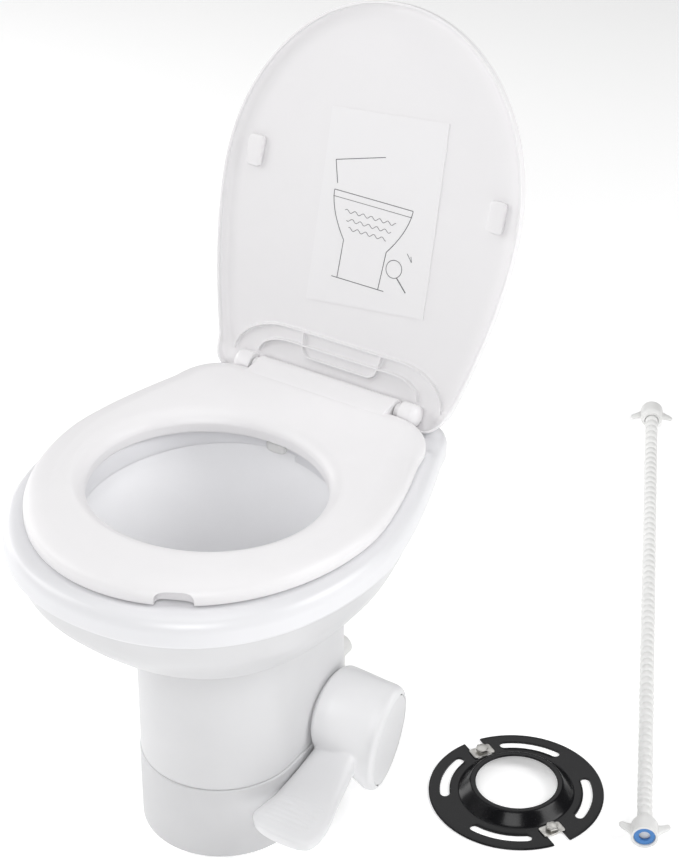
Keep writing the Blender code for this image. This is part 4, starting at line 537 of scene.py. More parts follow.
RIM_EGG = Egg(0.2000, 0.2327, -0.0330, 0.2050, 0.1300, 0.0400, 2.17, 1.45)
PEDESTAL_EGG = Egg(0.0872, 0.0883, -0.0400, 0.1105, 0.0872, 0.0600)
SEAT_EGG = Egg(0.1850, 0.2134, -0.0329, 0.1620, 0.1310, 0.0550, 2.02, 1.5)
HINGE_Y, HINGE_Z = 0.1707, 0.4235
BARREL_RADIUS, BARREL_HALF_LENGTH = 0.0118, 0.0860
POST_GAP, POST_THICK, PIN_BORE = 0.0015, 0.0045, 0.0038
LUG_X = BARREL_HALF_LENGTH + 2 * POST_GAP + POST_THICK
AXLE_Y, AXLE_Z = 0.0440, 0.1130
OPENING = (-0.0550, 0.1310, 0.1360, 0.1480)    # deck's opening: centre, half width, front, rear


def on_hinge(part: Surface, start: float) -> list[Surface]:
    """A lathe part on the hinge's axis, pointing outwards from a start at the left and right."""
    return [part.moved(along_axis((side, 0, 0), (side * start, HINGE_Y, HINGE_Z)))
            for side in (-1, 1)]


# Making pieces


def read_points(mesh: Mesh, what: str = "co") -> Array:
    """The mesh's points or their normals.

    Args:
        mesh: The mesh.
        what: co for its points, normal for their normals.

    Returns:
        An array of shape (count, 3).
    """
    points = np.empty(len(mesh.vertices) * 3, np.float32)
    mesh.vertices.foreach_get(what, points)
    return points.reshape(-1, 3).astype(float)


def write_points(mesh: Mesh, points: Array) -> None:
    """Moves the mesh's points."""
    mesh.vertices.foreach_set("co", points.astype(np.float32).ravel())
    mesh.update()


def take_mesh(thing: Object) -> None:
    """Applies an object's modifiers to its mesh and clears them.

    Args:
        thing: The object, which is changed.
    """
    bpy.context.view_layer.update()
    graph = bpy.context.evaluated_depsgraph_get()
    mesh = bpy.data.meshes.new_from_object(thing.evaluated_get(graph))
    thing.modifiers.clear()
    old, thing.data = thing.data, mesh
    bpy.data.meshes.remove(old)


def shade(mesh: Mesh, sharp_deg: float = 38.0) -> None:
    """Shades a mesh smooth, except over edges sharper than an angle."""
    mesh.shade_smooth()
    mesh.set_sharp_from_angle(angle=math.radians(sharp_deg))


def shape(name: str, surface: Surface) -> Object:
    """A scene object of a surface, at the origin.

    Args:
        name: Its name.
        surface: Its skin.

    Returns:
        The object.
    """
    thing = bpy.data.objects.new(name, surface.outwards().mesh(name))
    bpy.context.scene.collection.objects.link(thing)
    return thing


def carve(thing: Object, tools: Sequence[Surface], operation: str = "DIFFERENCE",
          solver: str = "EXACT") -> None:
    """Cuts surfaces out of an object, or joins them to it.

    Args:
        thing: The object, which is changed.
        tools: Closed surfaces.
        operation: Blender's name of the Boolean.
        solver: Blender's name of the method.

    Raises:
        RuntimeError: Where nothing is left of the object.
    """
    helpers = []
    for number, tool in enumerate(tools):
        helper = shape(f"tool_{number}", tool)
        step = thing.modifiers.new(f"step_{number}", "BOOLEAN")
        step.operation, step.solver, step.object = operation, solver, helper
        helpers.append(helper)
    take_mesh(thing)
    for helper in helpers:
        mesh = helper.data
        bpy.data.objects.remove(helper)
        bpy.data.meshes.remove(mesh)
    if not thing.data.polygons:
        raise RuntimeError(f"nothing is left of {thing.name}")


def remeshed(thing: Object, voxel: float, passes: int) -> None:
    """Fuses overlapping shells into one skin of small even faces, and evens it out.

    Args:
        thing: The object, which is changed.
        voxel: The faces' size.
        passes: How often each point moves halfway to its neighbours' middle.
    """
    step = thing.modifiers.new("fuse", "REMESH")
    step.mode, step.voxel_size = "VOXEL", voxel
    even = thing.modifiers.new("even", "SMOOTH")
    even.factor, even.iterations = 0.5, passes
    take_mesh(thing)


@dataclass(frozen=True)
class Placement:
    """What a piece rides on, which nodes it stands for, and its finish."""

    body: Body
    material: Material
    slot: str
    nodes: tuple[str, ...] = ()
    sharp_deg: float = 38.0


def settle(thing: Object, place: Placement) -> Object:
    """Finishes a piece: shading, material, body and replaced nodes.

    Args:
        thing: The piece.
        place: Where it belongs.

    Returns:
        The same piece.
    """
    shade(thing.data, place.sharp_deg)
    thing.data.materials.clear()
    thing.data.materials.append(place.material)
    thing.data.name = thing.name
    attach(thing, place.body.value)
    if place.nodes:
        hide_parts(*place.nodes)
    LOG.info("%s: %d faces, on %s", thing.name, len(thing.data.polygons), place.body.value)
    return thing


def piece(name: str, surface: Surface, place: Placement) -> Object:
    """A finished piece straight from a surface."""
    return settle(shape(name, surface), place)


# Finishes


class Tree:
    """Places and links the nodes of a material or a node group."""

    def __init__(self, tree: NodeTree) -> None:
        """Starts on an empty tree."""
        self.tree = tree
        tree.nodes.clear()

    def add(self, kind: str, **settings: object) -> Node:
        """A new node. Settings that name an input set its value, others an attribute.

        Args:
            kind: The node's type, without the leading "ShaderNode".
            **settings: Attributes, or inputs as in_Name with spaces as underscores.

        Returns:
            The node.
        """
        node = self.tree.nodes.new(kind if kind.startswith("Node") else "ShaderNode" + kind)
        for key, value in settings.items():
            if key.startswith("in_"):
                name = key[3:].replace("_", " ")
                socket = node.inputs[int(name)] if name.isdigit() else node.inputs[name]
                socket.default_value = value
            else:
                setattr(node, key, value)
        return node

    def link(self, source: NodeSocket, *targets: NodeSocket) -> None:
        """Links one output to inputs."""
        for target in targets:
            self.tree.links.new(source, target)

    def maths(self, operation: str, first: object, second: object = 0.0) -> NodeSocket:
        """A Math node on two sockets or numbers.

        Args:
            operation: The node's operation.
            first: A socket or a number.
            second: A socket or a number.

        Returns:
            The result.
        """
        node = self.add("Math", operation=operation)
        for socket, value in zip(node.inputs, (first, second)):
            if isinstance(value, NodeSocket):
                self.link(value, socket)
            else:
                socket.default_value = value
        return node.outputs[0]

    def spread(self, value: NodeSocket, low: float, high: float,
               to_low: float, to_high: float) -> NodeSocket:
        """A Map Range node, clamped.

        Args:
            value: What is mapped.
            low: The value that gives to_low.
            high: The value that gives to_high.
            to_low: A result.
            to_high: A result.

        Returns:
            The result.
        """
        node = self.add("MapRange", in_1=low, in_2=high, in_3=to_low, in_4=to_high)
        self.link(value, node.inputs[0])
        return node.outputs[0]

    def blend(self, share: NodeSocket, first: Sequence[float],
              second: Sequence[float]) -> NodeSocket:
        """A colour between two, by a share.

        Args:
            share: 0 gives the first colour, 1 the second.
            first: Red, green and blue.
            second: Red, green and blue.

        Returns:
            The colour.
        """
        node = self.add("Mix", data_type="RGBA")
        node.inputs[6].default_value = (*first, 1.0)
        node.inputs[7].default_value = (*second, 1.0)
        self.link(share, node.inputs[0])
        return node.outputs[2]


def effect(name: str, inputs: dict[str, float], outputs: Sequence[str]
           ) -> tuple[Tree, Node, Node]:
    """An empty node group with a Vector input, number inputs and number outputs.

    Args:
        name: The group's name.
        inputs: Each number input and its first value.
        outputs: The outputs' names.

    Returns:
        The tree, its input node and its output node.
    """
    group = bpy.data.node_groups.new(name, "ShaderNodeTree")
    group.interface.new_socket("Vector", in_out="INPUT", socket_type="NodeSocketVector")
    for key, value in inputs.items():
        socket = group.interface.new_socket(key, in_out="INPUT", socket_type="NodeSocketFloat")
        socket.default_value = value
    for key in outputs:
        group.interface.new_socket(key, in_out="OUTPUT", socket_type="NodeSocketFloat")
    tree = Tree(group)
    return tree, tree.add("NodeGroupInput"), tree.add("NodeGroupOutput")


def moulded_skin() -> NodeTree:
    """Moulded plastic: a fine orange-peel grain on slow flow waves, and a patchy tone.

    Returns:
        The group, which gives Height and Tone.
    """
    tree, given, out = effect("moulded_skin", {"Grain Scale": 900.0, "Wave Scale": 26.0},
                              ("Height", "Tone"))
    grain = tree.add("TexNoise", in_Detail=2.0, in_Roughness=0.5)
    wave = tree.add("TexNoise", in_Detail=1.0, in_Roughness=0.4)
    patch = tree.add("TexNoise", in_Scale=9.0, in_Detail=4.0, in_Roughness=0.6, in_Distortion=0.4)
    tree.link(given.outputs["Vector"], *(n.inputs["Vector"] for n in (grain, wave, patch)))
    tree.link(given.outputs["Grain Scale"], grain.inputs["Scale"])
    tree.link(given.outputs["Wave Scale"], wave.inputs["Scale"])
    fine = tree.maths("MULTIPLY", grain.outputs[0], 0.12)
    tree.link(tree.maths("ADD", fine, wave.outputs[0]), out.inputs["Height"])
    tree.link(tree.spread(patch.outputs[0], 0.3, 0.7, 0.0, 1.0), out.inputs["Tone"])
    return tree.tree


def handling_marks() -> NodeTree:
    """Faint hairline scratches in two directions, as noise stretched a hundredfold and cut off.

    Returns:
        The group, which gives Mask.
    """
    tree, given, out = effect("handling_marks", {"Spread": 0.08}, ("Mask",))
    masks = []
    for turn, stretch in ((0.5, (1.0, 130.0, 60.0)), (2.1, (110.0, 1.2, 70.0))):
        place = tree.add("Mapping", in_Rotation=(0.3, 0.2, turn), in_Scale=stretch)
        lines = tree.add("TexNoise", in_Scale=9.0, in_Detail=2.0, in_Roughness=0.7)
        tree.link(given.outputs["Vector"], place.inputs["Vector"])
        tree.link(place.outputs[0], lines.inputs["Vector"])
        edge = tree.maths("SUBTRACT", 0.78, given.outputs["Spread"])
        over = tree.maths("SUBTRACT", lines.outputs[0], edge)
        masks.append(tree.spread(over, 0.0, 0.05, 0.0, 1.0))
    tree.link(tree.maths("MAXIMUM", *masks), out.inputs["Mask"])
    return tree.tree


def settled_dust() -> NodeTree:
    """A veil of dust in soft patches.

    Returns:
        The group, which gives Mask.
    """
    tree, given, out = effect("settled_dust", {"Amount": 0.5}, ("Mask",))
    cloud = tree.add("TexNoise", in_Scale=14.0, in_Detail=6.0, in_Roughness=0.65)
    speck = tree.add("TexNoise", in_Scale=420.0, in_Detail=1.0)
    tree.link(given.outputs["Vector"], cloud.inputs["Vector"], speck.inputs["Vector"])
    haze = tree.spread(cloud.outputs[0], 0.45, 0.75, 0.0, 1.0)
    dots = tree.spread(speck.outputs[0], 0.62, 0.75, 0.3, 1.0)
    veil = tree.maths("MULTIPLY", haze, dots)
    tree.link(tree.maths("MULTIPLY", veil, given.outputs["Amount"]), out.inputs["Mask"])
    return tree.tree


def brushed_lines() -> NodeTree:
    """Fine parallel lines with a patchy tone, for rolled or brushed metal.

    Returns:
        The group, which gives Height and Tone.
    """
    tree, given, out = effect("brushed_lines", {"Scale": 40.0}, ("Height", "Tone"))
    place = tree.add("Mapping", in_Scale=(1.0, 26.0, 26.0))
    lines = tree.add("TexNoise", in_Detail=4.0, in_Roughness=0.7)
    patch = tree.add("TexNoise", in_Scale=120.0, in_Detail=3.0)
    tree.link(given.outputs["Vector"], place.inputs["Vector"], patch.inputs["Vector"])
    tree.link(place.outputs[0], lines.inputs["Vector"])
    tree.link(given.outputs["Scale"], lines.inputs["Scale"])
    tree.link(lines.outputs[0], out.inputs["Height"])
    tree.link(tree.spread(patch.outputs[0], 0.35, 0.65, 0.0, 1.0), out.inputs["Tone"])
    return tree.tree


class Effects:
    """The shared node groups, each built once."""

    def __init__(self) -> None:
        """Builds the groups."""
        self.skin = moulded_skin()
        self.marks = handling_marks()
        self.dust = settled_dust()
        self.lines = brushed_lines()

    @staticmethod
    def use(tree: Tree, group: NodeTree, vector: NodeSocket,
            **values: float) -> Node:
        """Places a group in a material.

        Args:
            tree: The material's tree.
            group: The group.
            vector: Where its pattern is read.
            **values: Its inputs, with underscores for spaces.

        Returns:
            The group's node.
        """
        node = tree.add("Group", node_tree=group)
        tree.link(vector, node.inputs["Vector"])
        for key, value in values.items():
            node.inputs[key.replace("_", " ")].default_value = value
        return node


def start_material(name: str) -> tuple[Material, Tree, Node]:
    """A material with a Principled shader linked to its output.

    Args:
        name: Its name.

    Returns:
        The material, its tree and its shader.
    """
    material = bpy.data.materials.new(name)
    material.use_nodes = True
    tree = Tree(material.node_tree)
    shader = tree.add("BsdfPrincipled")
    tree.link(shader.outputs[0], tree.add("OutputMaterial").inputs[0])
    return material, tree, shader


def add_bump(tree: Tree, shader: Node, height: NodeSocket,
             distance: float, strength: float = 1.0) -> None:
    """Feeds a height through a Bump node into a shader's normal.

    Args:
        tree: The material's tree.
        shader: The shader.
        height: The height.
        distance: The relief in metres.
        strength: The share of it that is felt.
    """
    bump = tree.add("Bump", in_Strength=strength, in_Distance=distance)
    tree.link(height, bump.inputs["Height"])
    tree.link(bump.outputs[0], shader.inputs["Normal"])


@dataclass(frozen=True)
class Plastic:
    """Moulded plastic or rubber: two close tones, a grain, slight marks and dust."""

    name: str
    colour: Triple
    second: Triple
    roughness: float
    rough_spread: float = 0.05
    grain_scale: float = 900.0
    wave_scale: float = 26.0
    bump: float = 0.00005
    coat: float = 0.0
    coat_roughness: float = 0.1
    dust: float = 0.04
    sheen: float = 0.0
    specular: float = 0.5

    def build(self, effects: Effects) -> Material:
        """The material.

        Args:
            effects: The shared node groups.

        Returns:
            The material, read from Object coordinates.
        """
        material, tree, shader = start_material(self.name)
        at = tree.add("TexCoord").outputs["Object"]
        skin = effects.use(tree, effects.skin, at, Grain_Scale=self.grain_scale,
                           Wave_Scale=self.wave_scale)
        marks = effects.use(tree, effects.marks, at)
        dust = effects.use(tree, effects.dust, at, Amount=self.dust)
        base = tree.add("Mix", data_type="RGBA")
        tree.link(tree.blend(skin.outputs["Tone"], self.colour, self.second), base.inputs[6])
        base.inputs[7].default_value = (0.46, 0.45, 0.43, 1.0)
        tree.link(dust.outputs["Mask"], base.inputs[0])
        tree.link(base.outputs[2], shader.inputs["Base Color"])
        rough = tree.spread(skin.outputs["Tone"], 0.0, 1.0, self.roughness - self.rough_spread,
                            self.roughness + self.rough_spread)
        worn = tree.maths("MULTIPLY", marks.outputs["Mask"], 0.03)
        dull = tree.maths("MULTIPLY", dust.outputs["Mask"], 0.4)
        rough = tree.maths("ADD", tree.maths("ADD", rough, worn), dull)
        tree.link(rough, shader.inputs["Roughness"])
        shader.inputs["Coat Weight"].default_value = self.coat
        shader.inputs["Coat Roughness"].default_value = self.coat_roughness
        shader.inputs["Sheen Weight"].default_value = self.sheen
        shader.inputs["Specular IOR Level"].default_value = self.specular
        shader.inputs["IOR"].default_value = 1.48
        add_bump(tree, shader, skin.outputs["Height"], self.bump)
        return material


@dataclass(frozen=True)
class Metal:
    """Bare or plated metal with fine lines and a patchy tone."""

    name: str
    colour: Triple
    second: Triple
    roughness: float
    lines: float = 40.0
    bump: float = 0.00003

    def build(self, effects: Effects) -> Material:
        """The material, read from Object coordinates.

        Args:
            effects: The shared node groups.

        Returns:
            The material.
        """
        material, tree, shader = start_material(self.name)
        at = tree.add("TexCoord").outputs["Object"]
        lines = effects.use(tree, effects.lines, at, Scale=self.lines)
        tree.link(tree.blend(lines.outputs["Tone"], self.colour, self.second),
                  shader.inputs["Base Color"])
        tree.link(tree.spread(lines.outputs["Tone"], 0.0, 1.0, self.roughness - 0.07,
                              self.roughness + 0.09), shader.inputs["Roughness"])
        shader.inputs["Metallic"].default_value = 1.0
        add_bump(tree, shader, lines.outputs["Height"], self.bump)
        return material


FAINT = 0.00003     # bump of the smoothest mouldings


class Finishes:
    """Every finish of the set, keyed by the record's slots, with a few of the scene's own."""

    SLOTS = (
        ("seat_white", Plastic("seat_satin", (0.83, 0.82, 0.83), (0.81, 0.80, 0.81), 0.42,
                               bump=FAINT)),
        ("rim_white", Plastic("rim_gloss", (0.79, 0.79, 0.81), (0.77, 0.77, 0.79), 0.33, coat=0.10,
                              coat_roughness=0.2, bump=FAINT)),
        ("shell_white", Plastic("shell_satin", (0.67, 0.67, 0.68), (0.65, 0.65, 0.66), 0.38,
                                bump=FAINT)),
        ("basin_white", Plastic("basin_gloss", (0.93, 0.93, 0.945), (0.91, 0.91, 0.925), 0.18,
                                coat=0.3, bump=FAINT)),
        ("grey_plastic", Plastic("inner_grey", (0.50, 0.51, 0.52), (0.44, 0.45, 0.46), 0.5, 0.08)),
        ("white_fitting", Plastic("fitting_white", (0.80, 0.80, 0.79), (0.76, 0.76, 0.75), 0.42)),
        ("black_rubber", Plastic("seal_rubber", (0.022, 0.022, 0.022), (0.032, 0.031, 0.03), 0.62,
                                 0.08, 1400.0, bump=0.00008, sheen=0.2)),
        ("white_rubber", Plastic("pad_rubber", (0.78, 0.78, 0.76), (0.74, 0.74, 0.72), 0.58,
                                 0.06, 1400.0, bump=0.00007, sheen=0.15)),
        ("blue_rubber", Plastic("washer_rubber", (0.06, 0.24, 0.58), (0.05, 0.19, 0.50), 0.45,
                                0.06, 1400.0, bump=0.00006, sheen=0.1)),
        ("steel", Metal("pin_steel", (0.62, 0.62, 0.63), (0.54, 0.54, 0.55), 0.28)),
        ("zinc", Metal("plated_zinc", (0.66, 0.65, 0.62), (0.54, 0.53, 0.51), 0.36, 60.0)),
        ("black_enamel", Plastic("black_enamel", (0.004, 0.004, 0.005), (0.007, 0.007, 0.008), 0.20,
                                 0.05, 700.0, 70.0, 0.00008, dust=0.01, specular=0.22)),
        ("brass", Metal("plunger_brass", (0.60, 0.42, 0.18), (0.50, 0.34, 0.14), 0.32)),
    )
    OTHERS = (
        Plastic("label_film", (0.842, 0.834, 0.844), (0.832, 0.824, 0.834), 0.36, bump=0.00002),
        # The foot's white is a darker copy of the shell white: painted shade on the low skirt under
        # the pedal.
        Plastic("foot_painted_shade", (0.62, 0.62, 0.63), (0.60, 0.60, 0.61), 0.40, bump=FAINT),
        # The pedal's white is a brighter copy of the shell white: painted light on the shaded arm,
        # tread and drum.
        Plastic("pedal_painted_light", (0.78, 0.78, 0.79), (0.76, 0.76, 0.77), 0.38, bump=FAINT),
        Plastic("grey_ink", (0.09, 0.09, 0.10), (0.13, 0.13, 0.14), 0.5),
        # Near-black for small pips where the cap's seam has gaps: painted shade.
        Plastic("painted_slot_shade", (0.05, 0.05, 0.05), (0.07, 0.07, 0.07), 0.6),
    )

    def __init__(self) -> None:
        """Builds the materials."""
        effects = Effects()
        self.by_slot = {slot: finish.build(effects) for slot, finish in self.SLOTS}
        self.film, self.foot, self.pedal, self.ink, self.dark = (
            finish.build(effects) for finish in self.OTHERS)

    def at(self, slot: str, body: Body, *nodes: str, sharp_deg: float = 38.0) -> Placement:
        """A placement with the slot's own finish."""
        return Placement(body, self.by_slot[slot], slot, nodes, sharp_deg)


# The hose, which comes first with the camera


@dataclass
class WaterHose:
    """The ribbed hose on the floor, its two wing nuts and their washers."""

    finishes: Finishes
    near: Pair = (0.4124, 0.1571)
    far: Pair = (0.0515, 0.9020)
    radius: float = 0.0085
    ribs: int = 70
    groove_share: float = 0.76
    settle_run: float = 0.0600
    nut_outer: float = 0.0150
    nut_length: float = 0.0220
    tail: float = 0.0157
    ear_root: float = 0.0120
    ear_reach: float = 0.0278
    ear_half: Pair = (0.0088, 0.0030)    # at the root, less at the tip
    ear_lean: Pair = (0.0102, 0.0072)    # the same
    ear_thick: Pair = (0.0030, 0.0009)    # the same
    collar: Pair = (0.0113, -0.0048)    # radius, lower end

    def way(self) -> Array:
        """The direction from the near nut to the far one."""
        return unit(np.array([*self.far, 0.0]) - (*self.near, 0.0))

    def path(self) -> Array:
        """The middle line: straight from above, easing down to the floor beyond each nut.

        Returns:
            Points of shape (count, 3).
        """
        near, far = np.array([*self.near, 0.0]), np.array([*self.far, 0.0])
        length = float(np.linalg.norm(far - near))
        at = np.linspace(-self.tail, length + self.tail, self.ribs * 16 + 1)
        run = np.clip(np.minimum(at, length - at), 0, None)
        drop = smooth_step((run - self.nut_outer) / self.settle_run)
        height = self.nut_outer - (self.nut_outer - self.radius) * drop + 2 * GAP
        return near + self.way() * at[:, None] + np.stack([0 * at, 0 * at, height], 1)

    def make_hose(self) -> None:
        """The hose: its radius swells and narrows once a rib, with broad crowns and narrow grooves.
        """
        path = self.path()
        at = run_of(path[:, None])
        length = at[-1] - 2 * self.tail
        turn = np.pi * (at - self.tail) / (length / self.ribs)
        crown = 1 - np.abs(np.cos(turn)) ** 6
        radii = self.radius * (self.groove_share + (1 - self.groove_share) * crown)
        inside = (at < self.tail) | (at > self.tail + length)
        radii = np.where(inside, self.radius * self.groove_share, radii)
        place = self.finishes.at("white_fitting", Body.BASE, "supply_hose", sharp_deg=80)
        hose = piece("ribbed_hose", tube(path, radii, 24), place)

    def ear(self, side: int) -> Surface:
        """One ear of a nut: flat sections from the body outwards, leaning towards the hose.

        Args:
            side: -1 or 1.

        Returns:
            The ear, on a nut that stands along +Z.
        """
        share = 1 - (1 - np.linspace(0, 1, 22)) ** 1.6
        reach = self.ear_root + (self.ear_reach - self.ear_root) * share
        tip = np.sqrt(np.clip(1 - ((share - 0.62) / 0.38).clip(0, 1) ** 2, 0.003, 1))
        (wide, slim), (high, drop), (thick, thin) = self.ear_half, self.ear_lean, self.ear_thick
        half = (wide - slim * smooth_step(share / 0.6)) * tip
        middle = high - drop * smooth_step(share)
        thick = (thick - thin * share) * tip ** 0.7
        c, s = super_ring(28, 0.8)
        rows = np.stack([np.repeat(side * reach[:, None], 28, 1), thick[:, None] * s,
                         middle[:, None] + half[:, None] * c], -1)
        return Surface.closed(rows)

    def make_nut(self, name: str, body: Body, start: Pair, sign: int
                 ) -> list[Object]:
        """A wing nut with its collar and its washer.

        Args:
            name: near or far.
            body: The body it rides on.
            start: Where its hose side stands.
            sign: -1 where it points away from the far nut, 1 where away from the near one.

        Returns:
            The nut and the washer.
        """
        out = self.way() * sign
        move = along_axis(out, (*start, self.nut_outer + 2 * GAP))
        outer, inner, length = self.nut_outer, 0.0118, self.nut_length
        body_wall = turned([
            (0.0090, self.collar[1]), (self.collar[0], self.collar[1]), (self.collar[0], -0.0022),
            (0.0128, -0.0010), (outer - 0.0002, 0.0024), (outer, 0.0120), (outer, length),
            (inner, length), (inner, 0.0006), (0.0090, 0.0006)], 56,
            corners=(0, 1, 2, 4, 6, 7, 8, 9), fine=Fineness(0.004, 14, 0.0006, 0.0001))
        side = np.cross(out, (0.0, 0.0, 1.0))
        turn = np.array(mathutils.Vector(out).to_track_quat("Z", "Y").to_matrix()).T @ side
        spin = turn_z(math.atan2(turn[1], turn[0]))
        nut = shape(f"wing_nut_{name}", body_wall.moved(move))
        carve(nut, [self.ear(way).moved(lambda p: move(p @ spin.T)) for way in (-1, 1)], "UNION")
        bore = rod(inner, 0.0006, length + 0.004, 56, Fineness(0.01, 30, 0.00005, 0.0001))
        carve(nut, [bore.moved(move)])
        settle(nut, self.finishes.at("white_fitting", body, f"hose_nut_{name}", sharp_deg=45))
        washer = turned([(0.0062, length - 0.0018), (inner - GAP, length - 0.0018),
                         (inner - GAP, 0.0162), (0.0062, 0.0162)], 48,
                        fine=Fineness(0.004, 14, 0.0004, 0.0001)).moved(move)
        ring = piece(f"blue_washer_{name}", washer,
                     self.finishes.at("blue_rubber", body, f"hose_washer_{name}"))
        return [nut, ring]

    def build(self) -> None:
        """Makes the nuts and washers, then the hose that they are on."""
        parts = self.make_nut("near", Body.NEAR_NUT, self.near, -1)
        parts += self.make_nut("far", Body.FAR_NUT, self.far, 1)
        self.make_hose()


# The floor flange


@dataclass
class FloorFlange:
    """The stamped black flange, its bolts and its clips."""

    finishes: Finishes
    centre: Pair = (0.2615, 0.1460)
    radius: float = 0.0965
    bore: float = 0.0448
    steel: float = 0.0025
    cone: Triple = (0.0625, 0.0500, 0.0155)    # foot, head, height
    slot_radius: float = 0.07875
    slot_width: float = 0.0105
    slot_span_deg: float = 48.0
    slots_deg: tuple[float, ...] = (22.0, 107.0, 194.0, 286.0)
    notches_deg: tuple[tuple[str, float], ...] = (("rear", 150.0), ("front", 330.0))
    notch_inner: float = 0.0660
    notch_width: float = 0.0200
    bolt_inside: float = 0.0084
    head_radius: float = 0.0075
    head_z: Pair = (0.0024, 0.0030)    # start over the clip, height
    head_shares: tuple[Pair, ...] = (
        (0.9, 0), (1, 0.15), (1, 0.62), (0.9, 0.86), (0.55, 1.0), (0.1, 1.04))
    shank_radii: Pair = (0.0040, 0.0073)
    clip_size: Triple = (0.0160, 0.0258, 0.0015)
    clip_bore: float = 0.0043

    def slot_outline(self, middle_deg: float) -> Array:
        """An arc slot with round ends: two arcs and two half circles.

        Args:
            middle_deg: Where its middle lies round the flange.

        Returns:
            Points of shape (count, 2).
        """
        half = math.radians(self.slot_span_deg) / 2 - self.slot_width / 2 / self.slot_radius * 0.6
        middle = math.radians(middle_deg)
        arc = np.linspace(-half, half, 24)
        end = np.linspace(0, np.pi, 10)[1:-1]
        r, w = self.slot_radius, self.slot_width / 2
        outer = np.stack([(r + w) * np.cos(middle + arc), (r + w) * np.sin(middle + arc)], 1)
        inner = np.stack([(r - w) * np.cos(middle - arc), (r - w) * np.sin(middle - arc)], 1)

        def cap(at: float, start: float) -> Array:
            """A half circle about a point on the slot's middle line."""
            spot = r * np.array([math.cos(at), math.sin(at)])
            return spot + w * np.stack([np.cos(start + end), np.sin(start + end)], 1)

        return np.concatenate([outer, cap(middle + half, middle + half), inner,
                               cap(middle - half, middle - half + np.pi)])

    def turned_to(self, angle: float, reach: float) -> Move:
        """A move from a tool's own frame to a place round the flange."""
        turn = turn_z(angle)
        return lambda points: (points + (reach, 0, 0)) @ turn.T + (*self.centre, 0)

    def make_plate(self) -> None:
        """The plate: a lathe shape with a pressed cone, cut by the slots and the notches."""
        t, (foot, head, height) = self.steel, self.cone
        profile = [(self.radius, t), (self.radius, 0), (foot, 0), (head, height - t),
                   (self.bore, height - t), (self.bore, height), (head + t / 3, height),
                   (foot + t / 3, t)]
        ring = turned(profile, 200, fine=Fineness(0.006, 10, 0.0008, 0.0001))
        plate = shape("black_flange", ring.moved(lambda p: p + (*self.centre, 0)))
        tools = [slab(self.slot_outline(angle) + self.centre, -0.01, 0.01)
                 for angle in self.slots_deg]
        for _, angle in self.notches_deg:
            c, s = super_ring(40, 0.12)
            depth = self.radius - self.notch_inner + 0.01
            outline = np.stack([c * depth / 2, s * self.notch_width / 2], 1)
            place = self.turned_to(math.radians(angle), self.notch_inner + depth / 2)
            tools.append(slab(outline, -0.01, 0.02).moved(place))
        carve(plate, tools)
        edge = plate.modifiers.new("edge", "BEVEL")
        edge.width, edge.segments, edge.limit_method = 0.0003, 2, "ANGLE"
        edge.angle_limit = math.radians(50)
        take_mesh(plate)
        settle(plate, self.finishes.at("black_enamel", Body.BASE, "floor_flange", sharp_deg=50))

    def make_bolt(self, name: str, angle: float) -> None:
        """A hexagonal bolt head over its clip.

        Args:
            name: rear or front.
            angle: Its notch's angle.
        """
        move = self.turned_to(angle, self.notch_inner + self.bolt_inside)
        low, (length, width, thick) = self.steel + GAP, self.clip_size
        top = low + thick
        six = TAU * np.arange(6) / 6 + 0.35
        corner = np.stack([np.cos(six), np.sin(six)], 1)
        share = np.linspace(0, 1, 6, endpoint=False)[:, None]
        outline = np.concatenate([corner[k] + (corner[(k + 1) % 6] - corner[k]) * share
                                  for k in range(6)])
        start, height = self.head_z
        rows = np.stack([level(outline * self.head_radius * a, top + start + height * h)
                         for a, h in self.head_shares])
        head, (slim, wide) = Surface.closed(rows), self.shank_radii
        shank = turned([(0, top + height), (slim, top + height), (slim, self.steel),
                        (wide, self.steel), (wide, GAP), (0, GAP)], 32, False)
        piece(f"flange_bolt_head_{name}", head.joined(shank).moved(move),
              self.finishes.at("zinc", Body.BASE, f"flange_bolt_{name}", sharp_deg=30))
        plate = rounded_block((length, width, top - low), (0, 0, (low + top) / 2), 0.2, 56, 12)
        clip = shape(f"bolt_plate_{name}", plate.moved(move))
        carve(clip, [rod(self.clip_bore, -0.01, 0.02).moved(move)])
        settle(clip, self.finishes.at("zinc", Body.BASE, f"bolt_clip_{name}", sharp_deg=30))

    def build(self) -> None:
        """Makes the plate, the bolts and the clips."""
        self.make_plate()
        for name, angle in self.notches_deg:
            self.make_bolt(name, math.radians(angle))


# Foot, bowl, rim and basin


